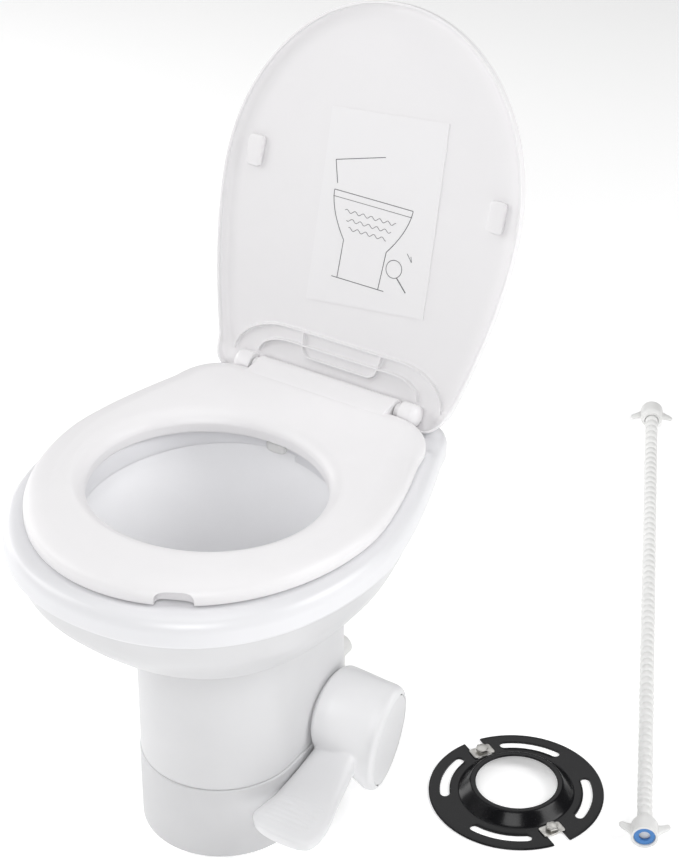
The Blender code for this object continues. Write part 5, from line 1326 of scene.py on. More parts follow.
@dataclass
class Bowl:
    """The mouldings that stay still: foot, pedestal with bowl, rim cover and basin."""

    finishes: Finishes
    wall: float = 0.0040
    foot_height: float = 0.0912
    foot_lip: float = 0.0012
    foot_plate: float = 0.0070
    foot_opening: float = 0.0545
    ball_y: float = -0.0080
    seam: float = 0.0008
    pedestal_top: float = 0.2392
    bowl_inset: float = 0.0048
    rim_low: float = 0.3770
    deck: float = 0.4085
    deck_thick: float = 0.0040
    lip_low: float = 0.3840
    shoulder: float = 0.0180
    lap: float = 0.0110
    bolt_hole: Pair = (0.0045, 0.0690)    # radius, distance from the middle
    swell: tuple[Pair, ...] = (
        (0, 0), (0.06, 0.08), (0.15, 0.21), (0.27, 0.38), (0.42, 0.57), (0.58, 0.74), (0.76, 0.895),
        (1, 1))
    boss: tuple[Pair, ...] = (
        (0, 0.0700), (0.0462, 0.0700), (0.0440, 0.0892), (0, 0.0892))
    deck_fall: Triple = (0.0050, 0.1380, 0.0120)    # depth, start, run
    deck_shares: tuple[float, ...] = (0.28, 0.34, 0.40, 0.47, 0.54, 0.7, 0.85)
    deck_bevel: float = 0.0030
    lip_bulge: tuple[Pair, ...] = ((0.0022, 0.0040), (0.0016, 0.0009))
    dimple_size: Triple = (0.0056, 0.0056, 0.0030)
    dimple_at: Pair = (-0.1480, -0.1590)
    nozzle_hole: Triple = (0.0068, 0.0930, 0.3945)    # radius, y, z
    basin_thick: float = 0.0030
    basin_flange: float = 0.0190
    basin_shares: tuple[Pair, ...] = (
        (0, 0), (0.05, 0), (0.09, 0.035), (0.20, 0.155), (0.32, 0.33), (0.46, 0.52), (0.60, 0.68),
        (0.74, 0.825), (0.87, 0.93), (0.945, 0.985), (1, 1))
    shoulder_shares: tuple[Triple, ...] = (
        (0, 0.095, 0), (0, 0.508, 0), (0.11, 0.73, 0.1), (0.39, 0.905, 0.6), (1, 1, 1))
    throat_radius: float = 0.0310
    throat_z: float = 0.14897
    hood_size: Triple = (0.0240, 0.0120, 0.0130)
    hood_at: Triple = (-0.0105, 0.0900, 0.3895)
    vane_deg: Pair = (60.0, 86.0)
    vane_z: Pair = (0.3760, 0.3975)
    vane_section: tuple[Pair, ...] = (
        (0, 0.0022), (0.5, 0.0034), (0.9, 0.0064), (1.0, 0.0070), (1.0, 0.0052), (0.9, 0.0042),
        (0.5, 0.0012), (0, 0.0004))

    def make_foot(self) -> None:
        """The foot: a skirt with a floor plate, open in the middle, softened at its seam."""
        outer = inset(PEDESTAL_EGG.points(), -self.foot_lip)
        inner = inset(outer, self.wall)
        top, lip = self.foot_height - GAP, self.foot_lip
        hole = oval_towards(inner, self.ball_y, *(3 * [self.foot_opening]))
        rings = [level(inset(outer, lip), 0.0), level(outer, lip), level(outer, top - lip),
                 level(inset(outer, lip), top), level(inner, top), level(inner, self.foot_plate),
                 level(hole, self.foot_plate), level(hole, 0.0)]
        rows = refined(np.stack(rings), range(8), True, Fineness(0.02, 12, 0.0006, 0.0003))
        foot = shape("foot_skirt", Surface.grid(rows, wrap_rows=True))
        radius, reach = self.bolt_hole
        carve(foot, [rod(radius, -0.01, 0.02).moved(lambda p, x=x: p + (x, self.ball_y, 0))
                     for x in (-reach, reach)])
        # The foot takes the darker copy of the shell white, which paints shade on it.
        settle(foot, Placement(Body.BASE, self.finishes.foot, "shell_white", ("base_foot",)))

    def bowl_ring(self, height: float, width: float, wall: float = 0.0) -> Array:
        """One ring of the shell: the pedestal's outline swelling to the rim's.

        Args:
            height: 0 at the pedestal's top, 1 at the rim.
            width: 0 is the pedestal, 1 the rim.
            wall: How far inside.

        Returns:
            Points of shape (256, 3).
        """
        straight = PEDESTAL_EGG.points()
        wide = inset(RIM_EGG.points(), self.bowl_inset)
        ring = inset(straight + (wide - straight) * width, wall)
        return level(ring, self.pedestal_top + (self.rim_low - self.pedestal_top) * height
                     + wall * (1 - width))

    def make_shell(self) -> None:
        """Pedestal and lower bowl: one skin outside and inside, with the pedal's round boss."""
        straight = PEDESTAL_EGG.points()
        wide = inset(RIM_EGG.points(), self.bowl_inset)
        top = self.rim_low + self.lap
        rings = [level(wide, top)] + [self.bowl_ring(*share) for share in reversed(self.swell)]
        rings += [level(straight, self.foot_height + self.seam),
                  level(inset(straight, self.seam), self.foot_height)]
        inner_from = len(rings)
        rings += [level(inset(straight, self.wall), self.foot_height)]
        rings += [self.bowl_ring(*share, wall=self.wall) for share in self.swell]
        rings += [level(inset(wide, self.wall), top)]
        corners = (0, 1, inner_from - 2, inner_from - 1, inner_from, len(rings) - 1)
        rows = refined(np.stack(rings), corners, True, Fineness(0.010, 7, 0.0007))
        boss = turned(self.boss, 96, False, fine=Fineness(0.01, 12, 0.0006, 0.0002))
        boss = boss.moved(along_axis((1, 0, 0), (0, AXLE_Y, AXLE_Z)))
        place = self.finishes.at("shell_white", Body.BASE, "bowl_and_pedestal")
        piece("pedestal_bowl", Surface.grid(rows, wrap_rows=True), place)
        piece("pedal_boss", boss, Placement(place.body, place.material, place.slot))

    def fall(self, ring: Array) -> Array:
        """How far the deck steps down at each point: it is lower under the hinge."""
        depth, start, run = self.deck_fall
        return depth * smooth_step((ring[:, 1] - start) / run)

    def make_rim(self) -> None:
        """The rim cover: tall band, soft shoulder, deck with a step, and the opening's lip."""
        rim = RIM_EGG.points()
        opening = oval_towards(rim, *OPENING)
        band, bevel = self.deck - self.rim_low, self.deck_bevel
        rings = [level(inset(rim, 0.0015), self.rim_low)]
        for inward, height, fall in self.shoulder_shares:
            ring = inset(rim, inward * self.shoulder)
            rings.append(level(ring, self.rim_low + band * height - self.fall(ring) * fall))
        edge, shoulder = inset(opening, -bevel), inset(rim, self.shoulder)
        for share in self.deck_shares:
            ring = shoulder + (edge - shoulder) * share
            rings.append(level(ring, self.deck - self.fall(ring)))
        turn = len(rings)
        rings += [level(edge, self.deck - self.fall(edge)),
                  level(opening, self.deck - bevel - self.fall(opening)),
                  *(level(inset(opening, inward), self.lip_low + height)
                    for inward, height in self.lip_bulge),
                  level(opening, self.lip_low), level(edge, self.lip_low),
                  level(edge, self.deck - self.deck_thick - self.fall(edge))]
        shoulder = inset(rim, self.shoulder + self.wall)
        for share in (0.54, 0.40, 0.28):
            ring = shoulder + (edge - shoulder) * share
            rings.append(level(ring, self.deck - self.deck_thick - self.fall(ring)))
        for inward, height, fall in reversed(self.shoulder_shares[1:]):
            ring = inset(rim, self.wall + inward * self.shoulder)
            rings.append(level(ring, self.rim_low + band * height - self.deck_thick
                               - self.fall(ring) * fall))
        rings.append(level(inset(rim, self.wall), self.rim_low))
        corners = (0, 1, turn + 5, turn + 6, len(rings) - 1)
        rows = refined(np.stack(rings), corners, True, Fineness(0.008, 8, 0.0008))
        cover = shape("rim_band", Surface.grid(rows, wrap_rows=True))
        dimple = rounded_block(self.dimple_size, (*self.dimple_at, self.deck), 0.9, 24, 12)
        radius, *spot = self.nozzle_hole
        nozzle = rod(radius, -0.02, 0.02).moved(along_axis((0, 1, 0), (0, *spot)))
        carve(cover, [dimple, nozzle])
        settle(cover, self.finishes.at("rim_white", Body.BASE, "rim_cover"))

    def basin_ring(self, height: float, width: float, wall: float = 0.0,
                   at: float | None = None) -> Array:
        """One ring of the basin, between the round throat and the deck's opening.

        Args:
            height: 0 at the throat, 1 at the lip.
            width: 0 is the throat, 1 the opening.
            wall: How far outside.
            at: The ring's height where it is given.

        Returns:
            Points of shape (256, 3).
        """
        centre, *sizes = OPENING
        middle = self.ball_y + (centre - self.ball_y) * width
        sizes = [self.throat_radius + (size + 0.0025 - self.throat_radius) * width + wall
                 for size in sizes]
        top = self.lip_low - GAP
        z = self.throat_z + (top - self.throat_z) * height - wall * width
        return level(oval_towards(RIM_EGG.points(), middle, *sizes), z if at is None else at)

    def make_basin(self) -> None:
        """The basin: a funnel with a steep wall, a rounded floor and a short throat."""
        thick, flange = self.basin_thick, self.basin_flange
        top = self.lip_low - GAP
        shares = self.basin_shares
        rings = [self.basin_ring(*share) for share in reversed(shares)]
        count = len(rings)
        rings += [self.basin_ring(*share, wall=thick) for share in shares[:-1]]
        rings += [self.basin_ring(1, 1, thick, top - 2 * thick),
                  self.basin_ring(1, 1, flange, top - thick), self.basin_ring(1, 1, flange, top)]
        corners = (0, count - 1, count, len(rings) - 3, len(rings) - 2, len(rings) - 1)
        rows = refined(np.stack(rings), corners, True, Fineness(0.008, 7, 0.0006))
        piece("basin_funnel", Surface.grid(rows, wrap_rows=True),
              self.finishes.at("basin_white", Body.BASE, "basin"))

    def make_spout(self) -> None:
        """The rinse nozzle's hood on the rear wall, under the lip, and the vane beside it.

        The vane is a sheet that leaves the wall towards its upper edge and tapers to its ends.
        """
        hood = rounded_block(self.hood_size, self.hood_at, 0.55, 48, 18)
        piece("nozzle_hood", hood, self.finishes.at("white_fitting", Body.BASE))
        t = np.linspace(0, 1, 30)
        angle = np.radians(self.vane_deg[0] + (self.vane_deg[1] - self.vane_deg[0]) * t)
        centre, half, _, rear = OPENING
        full = np.sin(np.pi * np.clip(t, 0.02, 0.98)) ** 0.5
        way = np.stack([np.cos(angle), np.sin(angle)], 1)
        rows = []
        for share, off in self.vane_section:
            reach = 1 / np.hypot(way[:, 0] / half, way[:, 1] / rear) - off * full
            z = self.vane_z[0] + (self.vane_z[1] - self.vane_z[0]) * share * full
            rows.append(level((0.0, centre) + way * reach[:, None], z))
        piece("deflector_vane", Surface.closed(np.stack(rows, 1)),
              self.finishes.at("rim_white", Body.BASE))

    def build(self) -> None:
        """Makes the four mouldings and what is on the basin's rear wall."""
        self.make_foot()
        self.make_shell()
        self.make_rim()
        self.make_basin()
        self.make_spout()


# Seat


@dataclass
class Seat:
    """The seat ring with its barrel and its finger scoop."""

    finishes: Finishes
    low: float = 0.4105
    thick: float = 0.0235
    shoulder: float = 0.0270
    outer: tuple[Pair, ...] = (
        (0.06, 0), (0, 0.06), (0, 0.34), (0.074, 0.553), (0.37, 0.787), (1, 0.979))
    inner: tuple[Pair, ...] = (
        (0.66, 1.0), (0.50, 0.98), (0.33, 0.905), (0.18, 0.79), (0.05, 0.61), (0, 0.45), (0, 0.10),
        (0.08, 0))
    opening: tuple[float, ...] = (-0.0530, 0.1255, 0.1170, 0.1160)
    scoop_at: Pair = (0.0810, -0.2260)
    scoop_size: Triple = (0.0390, 0.0250, 0.0290)
    web: Pair = (0.4328, 0.4166)    # top and underside
    web_top: tuple[Pair, ...] = (
        (0.1330, -0.0006), (0.1430, -0.0001), (0.1520, 0.0003))
    web_foot: Pair = (0.1560, 0.1330)
    barrel_edge: float = 0.0012
    post_room: Pair = (0.0145, 0.0380)    # radius, length
    bore_depth: float = 0.0163

    def roll(self) -> Surface:
        """The barrel and the web that carries it, one section drawn along X.

        The section leaves the seat's top level, rises gently onto the barrel's circle, goes round
        it and comes back under the seat. Towards each end it shrinks over a small radius.

        Returns:
            The closed surface.
        """
        top, low = self.web
        angle = np.radians(np.linspace(112, -150, 44))
        circle = np.stack([HINGE_Y + BARREL_RADIUS * np.cos(angle),
                           HINGE_Z + BARREL_RADIUS * np.sin(angle)], 1)
        start = np.array(self.web_top) + (0, top)
        foot = np.array([[y, low] for y in self.web_foot])
        line = np.concatenate([start, circle, foot])
        line = refined(line[:, None], (0, len(line) - 1, len(line) - 2), True,
                       Fineness(0.004, 8, 0.0008, 0.0002))[:, 0]
        edge, half = self.barrel_edge, BARREL_HALF_LENGTH
        t = np.linspace(0, np.pi / 2, 6)
        end, shrink = edge * (1 - np.cos(t)), edge * (1 - np.sin(t))
        inner = np.linspace(0.004 - half, half - 0.004, 24)
        x = np.concatenate([end - half, inner, half - end[::-1]])
        shrink = np.concatenate([shrink, np.zeros(24), shrink[::-1]])
        tangent = unit(np.roll(line, -1, 0) - np.roll(line, 1, 0))
        normal = np.stack([tangent[:, 1], -tangent[:, 0]], 1)
        middle = line.mean(0)
        if ((line - middle) * normal).sum() > 0:
            normal = -normal
        section = line[None] + normal[None] * shrink[:, None, None]
        across = np.broadcast_to(x[:, None, None], (*section.shape[:2], 1))
        return Surface.closed(np.concatenate([across, section], -1))

    def scoop(self) -> Surface:
        """The finger scoop's tool: a round-cornered block centred on the seat's lower edge.

        Returns:
            The closed tool.
        """
        spot = np.array(self.scoop_at)
        away = spot - (0.0, SEAT_EGG.widest_y)
        turn = turn_z(math.atan2(away[1], away[0]) + math.pi / 2)
        block = rounded_block(self.scoop_size, (0, 0, 0), 0.50, 96, 40)
        return block.moved(lambda p: p @ turn.T + (*spot, self.low))

    def build(self) -> None:
        """Makes the ring, joins the barrel, and cuts the scoop and the hinge's clearance."""
        outline = SEAT_EGG.points()
        opening = oval_towards(outline, *self.opening)
        rings = [level(inset(outline, share * self.shoulder), self.low + height * self.thick)
                 for share, height in self.outer]
        flat, (_, crest) = inset(outline, self.shoulder), self.outer[-1]
        edge = inset(opening, -self.inner[0][0] * self.shoulder)
        for share in (0.35, 0.7):
            rings.append(level(flat + (edge - flat) * share,
                               self.low + self.thick * (crest + (1 - crest) * share)))
        rings += [level(inset(opening, -share * self.shoulder), self.low + height * self.thick)
                  for share, height in self.inner]
        rows = refined(np.stack(rings), (0, len(rings) - 1), True, Fineness(0.007, 7, 0.0008))
        ring = shape("seat_moulding", Surface.grid(rows, wrap_rows=True))
        radius, length = self.post_room
        carve(ring, on_hinge(rod(radius, 0, length, 48), BARREL_HALF_LENGTH - 2 * POST_GAP),
              solver="MANIFOLD")
        carve(ring, [self.roll()], "UNION", "MANIFOLD")
        bores = on_hinge(rod(PIN_BORE, 0, 0.03), BARREL_HALF_LENGTH - self.bore_depth)
        carve(ring, [self.scoop(), *bores], solver="MANIFOLD")
        settle(ring, self.finishes.at("seat_white", Body.SEAT, "seat_ring"))


# Lid


@dataclass
class Lid:
    """The lid, worked out closed and then turned open about its hinge."""

    finishes: Finishes
    open_deg: float = 110.5
    outline: Egg = Egg(0.1795, 0.2095, -0.0329, HINGE_Y + 0.0158, 0.1360, 0.0300, 2.02, 1.75)
    face_shares: tuple[float, ...] = (0.03, 0.15, 0.3, 0.45, 0.6, 0.72, 0.82, 0.9, 0.96)
    corner: float = 0.0300
    lip: float = 0.0030
    lip_z: float = 0.4290
    top_z: float = 0.4440
    floor_z: float = 0.4405
    crown: float = 0.0040
    fillet: float = 0.0165
    lean: float = 0.0045
    edge_shares: tuple[Triple, ...] = (
        (0, 0, 0), (0, 0.6, 0.8), (0.6, 0.82, 1.0), (2, 0.96, 0.5))
    fillet_shares: tuple[Triple, ...] = (
        (0, 0.35, 0), (0.12, 0.6, 0.25), (0.4, 0.86, 0.7), (1, 1, 0))
    arches: tuple[tuple[str, float, float, float, float], ...] = (
        ("outer_arch", 0.1300, 0.0470, 0.0600, 0.0400),
        ("inner_arch", 0.1000, 0.0320, 0.0350, 0.0200))
    cradle: Triple = (0.0490, 0.0470, 0.0205)
    rib_width: float = 0.0020
    rib_height: float = 0.0040
    rib_root: float = 0.0012
    rib_section: tuple[Pair, ...] = (
        (-1.2, 0), (-0.85, 0.06), (-0.6, 0.35), (-0.5, 0.75), (-0.4, 0.93), (-0.2, 0.99), (0, 1),
        (0.2, 0.99), (0.4, 0.93), (0.5, 0.75), (0.6, 0.35), (0.85, 0.06), (1.2, 0))
    barrel_room: float = 0.0050
    lug: Triple = (0.0225, 0.0080, 1.06)    # length, dome, share of barrel
    lug_web: tuple[Pair, ...] = (
        (-0.6, 0), (1.14, 0), (1.0, 0.85), (0.80, 1.25), (0.5, 1.55), (-0.6, 1.55))
    bumper_x: float = 0.1485
    bumper_from_hinge: float = 0.2235
    bumper_size: Pair = (0.0210, 0.0340)
    bumper_z: Pair = (0.4346, 0.4407)
    bumper_waist: float = 0.10
    film_corners: tuple[Pair, ...] = (
        (-0.0677, 0.2899), (0.0722, 0.3034), (0.0866, 0.0972), (-0.0562, 0.0824))
    film_lift: Pair = (0.00110, -0.00050)    # front, back
    ink_lift: Pair = (0.00122, 0.00095)

    def opened(self, points: Array) -> Array:
        """Points turned open about the hinge: a turn about X by minus the opening angle.

        Args:
            points: Points of shape (count, 3).

        Returns:
            As many points.
        """
        angle = -math.radians(self.open_deg)
        c, s = math.cos(angle), math.sin(angle)
        y, z = points[:, 1] - HINGE_Y, points[:, 2] - HINGE_Z
        return np.stack([points[:, 0], HINGE_Y + y * c - z * s, HINGE_Z + y * s + z * c], 1)

    def rear_share(self, ring: Array) -> Array:
        """0 at the front and sides, rising to 1 round the rear corners."""
        return smooth_step((ring[:, 1] - SEAT_EGG.rear_y + self.corner / 2) / self.corner)

    def floor_height(self, spots: Array) -> Array:
        """Height of the lid's inner face over points seen from above, lid closed.

        It rises from the fillet to the middle by crown (1 - share^2), where share is the way
        from the middle to the fillet's line in each direction.

        Args:
            spots: Points of shape (count, 2).

        Returns:
            One height for each point.
        """
        centre = np.array([0.0, SEAT_EGG.widest_y])
        line = inset(self.outline.points(), self.lip + self.fillet) - centre
        angle = np.arctan2(line[:, 1], line[:, 0])
        order = np.argsort(angle)
        away = spots - centre
        limit = np.interp(np.arctan2(away[:, 1], away[:, 0]), angle[order],
                          np.linalg.norm(line, axis=1)[order], period=TAU)
        share = np.clip(np.linalg.norm(away, axis=1) / limit, 0, 1)
        return self.floor_z + self.crown * (1 - share ** 2)

    def tray(self) -> Surface:
        """The lid's shell: crowned outside, rounded edge, thin lip, dished inside.

        Returns:
            The closed surface, lid closed.
        """
        outline = self.outline.points()
        share = self.rear_share(outline)
        low = self.lip_z - (self.lip_z - HINGE_Z + self.lip) * share
        lean = np.stack([0 * low, -self.lean * share], 1)
        centre = np.array([0.0, SEAT_EGG.widest_y])
        rings = []
        for part in (*self.face_shares, 1.0):
            ring = centre + (inset(outline, self.lip * 4) - centre) * part
            rings.append(level(ring, self.top_z + self.crown * (1 - part ** 2)))
        for inward, height, leaning in reversed(self.edge_shares):
            rings.append(level(inset(outline, inward * self.lip) + lean * leaning,
                               low + (self.top_z - low) * height))
        outer = len(rings) - 1
        rings.append(level(inset(outline, self.lip), low))
        for inward, height, leaning in self.fillet_shares:
            rings.append(level(inset(outline, self.lip + inward * self.fillet) + lean * leaning,
                               low + (self.floor_z - low) * height))
        for part in reversed(self.face_shares):
            ring = centre + (inset(outline, self.lip + self.fillet) - centre) * part
            rings.append(level(ring, self.floor_z + self.crown * (1 - part ** 2)))
        rows = refined(np.stack(rings), (outer, outer + 1), False, Fineness(0.010, 7, 0.0007))
        return Surface.closed(rows)

    def rib_lines(self) -> dict[str, Array]:
        """The raised lines near the hinge, as (x, distance from the hinge).

        Returns:
            Each line by its name.
        """
        lines = {}
        for name, half_width, reach, radius_x, radius_y in self.arches:
            t = np.linspace(0, np.pi / 2, 16)
            half = np.stack([half_width - radius_x * (1 - np.cos(t)),
                             reach - radius_y * (1 - np.sin(t))], 1)
            lines[name] = np.concatenate([half, half[::-1] * (-1, 1)])
        half_width, top, reach = self.cradle
        t = np.linspace(0, np.pi / 2, 8)
        round_x, round_y = half_width * 0.24, reach * 0.6
        half = np.concatenate([[(half_width, top)], np.stack([
            half_width * 0.96 - round_x * (1 - np.cos(t)), reach + round_y * (1 - np.sin(t))], 1)])
        lines["cradle"] = np.concatenate([half, half[::-1] * (-1, 1)])
        return lines

    def rib(self, line: Array) -> Surface:
        """A rib: a round-topped fin with flared feet, standing on the lid's inner face.

        Args:
            line: Points as (x, distance from the hinge).

        Returns:
            The closed surface.
        """
        path = refined(line[:, None] * 1.0, (0, len(line) - 1), False,
                       Fineness(0.003, 8, 0.0012, 0.0004))[:, 0]
        spots = np.stack([path[:, 0], HINGE_Y - path[:, 1]], 1)
        tangent = unit(np.gradient(spots, axis=0))
        across = np.stack([-tangent[:, 1], tangent[:, 0]], 1)
        share, drop = np.array(self.rib_section, float).T
        base = self.floor_height(spots)
        top = self.floor_z - self.rib_height
        wide = spots[:, None] + across[:, None] * (share * self.rib_width)[None, :, None]
        height = base[:, None] + (top - base[:, None]) * drop[None]
        low = np.concatenate([wide, height[..., None]], -1)
        high = np.concatenate([wide, (base[:, None] + self.rib_root + 0 * height)[..., None]], -1)
        return Surface.closed(np.concatenate([low, high[:, ::-1]], 1))

    def make_tray(self) -> None:
        """The tray with its ribs joined and the room for the barrel cut."""
        lid = shape("lid_moulding", self.tray())
        carve(lid, [self.rib(line) for line in self.rib_lines().values()], "UNION")
        half, rear = LUG_X - GAP, HINGE_Y + 2 * BARREL_RADIUS
        room = np.array([[-half, HINGE_Y], [half, HINGE_Y], [half, rear], [-half, rear]])
        middle = HINGE_Z + self.barrel_room
        carve(lid, [slab(room, middle - BARREL_RADIUS, middle + BARREL_RADIUS)])
        write_points(lid.data, self.opened(read_points(lid.data)))
        settle(lid, self.finishes.at("seat_white", Body.LID, "lid"))

    def make_lugs(self) -> None:
        """The two hinge lugs: a dome-ended roll under a web that runs up into the lid."""
        t = np.linspace(0, np.pi / 2, 14)
        length, dome, radius = self.lug
        radius *= BARREL_RADIUS
        profile = [(0.0, length)] + [(radius * math.sin(a), length - dome + dome * math.cos(a))
                                     for a in t[1:]] + [(radius, 0.0), (0.0, 0.0)]
        roll = turned(profile, 56, False, (0, 14, 15, 16), Fineness(0.002, 9, 0.0005, 0.0002))
        edge = np.array(self.lug_web) * BARREL_RADIUS + (HINGE_Y, HINGE_Z)
        for name, side, body, bore in zip(("left", "right"), (-1, 1), on_hinge(roll, LUG_X),
                                          on_hinge(rod(PIN_BORE, -0.004, length - dome), LUG_X)):
            x = side * (LUG_X + np.linspace(0, length - dome, 6))
            rows = np.concatenate([np.broadcast_to(x[:, None, None], (6, 6, 1)),
                                   np.broadcast_to(edge, (6, 6, 2))], -1)
            lug = shape(f"hinge_lug_{name}", body.joined(Surface.closed(rows)).moved(self.opened))
            remeshed(lug, 0.0006, 6)
            carve(lug, [bore])
            settle(lug, self.finishes.at("seat_white", Body.LID))

    def make_bumpers(self) -> None:
        """The two cushion-like bumpers, pulled in at their long sides."""
        low, high = self.bumper_z
        for name, side in (("left", -1), ("right", 1)):
            centre = (side * self.bumper_x, HINGE_Y - self.bumper_from_hinge, (low + high) / 2)
            pad = rounded_block((*self.bumper_size, high - low), centre, 0.42, 56, 20)

            def waist(points: Array, y: float = centre[1], x: float = centre[0]) -> Array:
                """Pulls the pad's long sides in at its middle.

                Args:
                    points: The pad's points.
                    y: The pad's middle.
                    x: The pad's middle.

                Returns:
                    As many points.
                """
                along = np.clip((points[:, 1] - y) / (self.bumper_size[1] / 2), -1, 1)
                share = 1 - self.bumper_waist * np.cos(along * np.pi / 2)
                return np.stack([x + (points[:, 0] - x) * share, points[:, 1], points[:, 2]], 1)

            piece(f"bumper_{name}", pad.moved(waist).moved(self.opened),
                  self.finishes.at("seat_white", Body.LID, f"lid_bumper_{name}"))

    def sheet_on_floor(self, spots: Array, lift: float) -> Array:
        """Points just off the lid's inner face, opened.

        Args:
            spots: Points of shape (..., 2), as (x, distance from the hinge).
            lift: How far they stand off the face.

        Returns:
            Points of shape (..., 3).
        """
        flat = spots.reshape(-1, 2)
        seen = np.stack([flat[:, 0], HINGE_Y - flat[:, 1]], 1)
        points = np.column_stack([seen, self.floor_height(seen) - lift])
        return self.opened(points).reshape(*spots.shape[:-1], 3)

    def make_film(self) -> None:
        """The pale film: a four-sided sheet just proud of the lid's face, its back in the lid.

        Its points are the two-way linear mix of its corners.
        """
        corners = np.array(self.film_corners)
        u, v = np.meshgrid(np.linspace(0, 1, 40), np.linspace(0, 1, 56))
        top = corners[0] + (corners[1] - corners[0]) * u[..., None]
        foot = corners[3] + (corners[2] - corners[3]) * u[..., None]
        grid = top + (foot - top) * v[..., None]
        near, far = (self.sheet_on_floor(grid, lift) for lift in self.film_lift)
        edge, edge_far = (np.concatenate([side[0, :-1], side[:-1, -1], side[-1, :0:-1],
                                          side[:0:-1, 0]]) for side in (near, far))
        sheet = Surface.grid(near, wrap_columns=False).joined(
            Surface(far.reshape(-1, 3), Surface.grid(far, wrap_columns=False).quads[:, ::-1]),
            Surface.grid(np.stack([edge_far, edge])))
        piece("clear_film", sheet, Placement(Body.LID, self.finishes.film, "seat_white"))

    def strokes(self) -> list[tuple[Array, float]]:
        """A plain line diagram of the builder's own: a bowl on its stem, water, and a lever.

        Returns:
            Each line as (x, distance from the hinge), and its width.
        """
        t = np.linspace(0, 1, 40)[:, None]
        arc = np.linspace(0, TAU, 60)
        lines = []

        def add(points: Array | Sequence[Pair], width: float = 0.0006) -> None:
            """One drawn line through points."""
            lines.append((np.array(points, float), width))

        add([(-0.047, 0.205), (0.050, 0.205)], 0.0008)
        add([(-0.047, 0.198), (0.050, 0.198)])
        for side in (-1, 1):
            add(np.column_stack([0.0015 + side * (0.0485 - 0.022 * t[:, 0] ** 1.6),
                                 0.205 - 0.050 * t[:, 0] ** 0.9]), 0.0008)
            add([(0.0015 + side * 0.0265, 0.155), (0.0015 + side * 0.0255, 0.114)], 0.0008)
        add([(-0.031, 0.114), (0.034, 0.114)], 0.0008)
        add([(-0.045, 0.212), (-0.052, 0.236), (0.006, 0.252)], 0.0008)
        for row in range(3):
            x = np.linspace(-0.030 + 0.004 * row, 0.033 - 0.004 * row, 60)
            add(np.column_stack([x, 0.186 - 0.009 * row + 0.0016 * np.sin(x * 620 + row)]))
        add(np.column_stack([0.041 + 0.0095 * np.cos(arc), 0.140 + 0.0095 * np.sin(arc)]), 0.0007)
        add([(0.046, 0.132), (0.060, 0.119)], 0.0011)
        add([(0.053, 0.160), (0.060, 0.152), (0.058, 0.158)])
        return lines

    def make_diagram(self) -> None:
        """The diagram's lines as flat ribbons on the film, with end points shared."""
        ribbons = []
        for line, width in self.strokes():
            line = refined(line[:, None], range(len(line)) if len(line) < 6 else (), False,
                           Fineness(0.002, 12, 0.0003, 0.0002))[:, 0]
            tangent = unit(np.gradient(line, axis=0))
            across = np.stack([-tangent[:, 1], tangent[:, 0]], 1) * width / 2
            flat = np.stack([line - across, line + across], 1)
            top, low = (self.sheet_on_floor(flat, lift) for lift in self.ink_lift)
            ribbons.append(Surface.closed(np.concatenate([top, low[:, ::-1]], 1)))
        piece("line_diagram", ribbons[0].joined(*ribbons[1:]),
              Placement(Body.LID, self.finishes.ink, "seat_white"))

    def build(self) -> None:
        """Makes the lid and what is on it."""
        self.make_tray()
        self.make_lugs()
        self.make_bumpers()
        self.make_film()
        self.make_diagram()


# Pedal


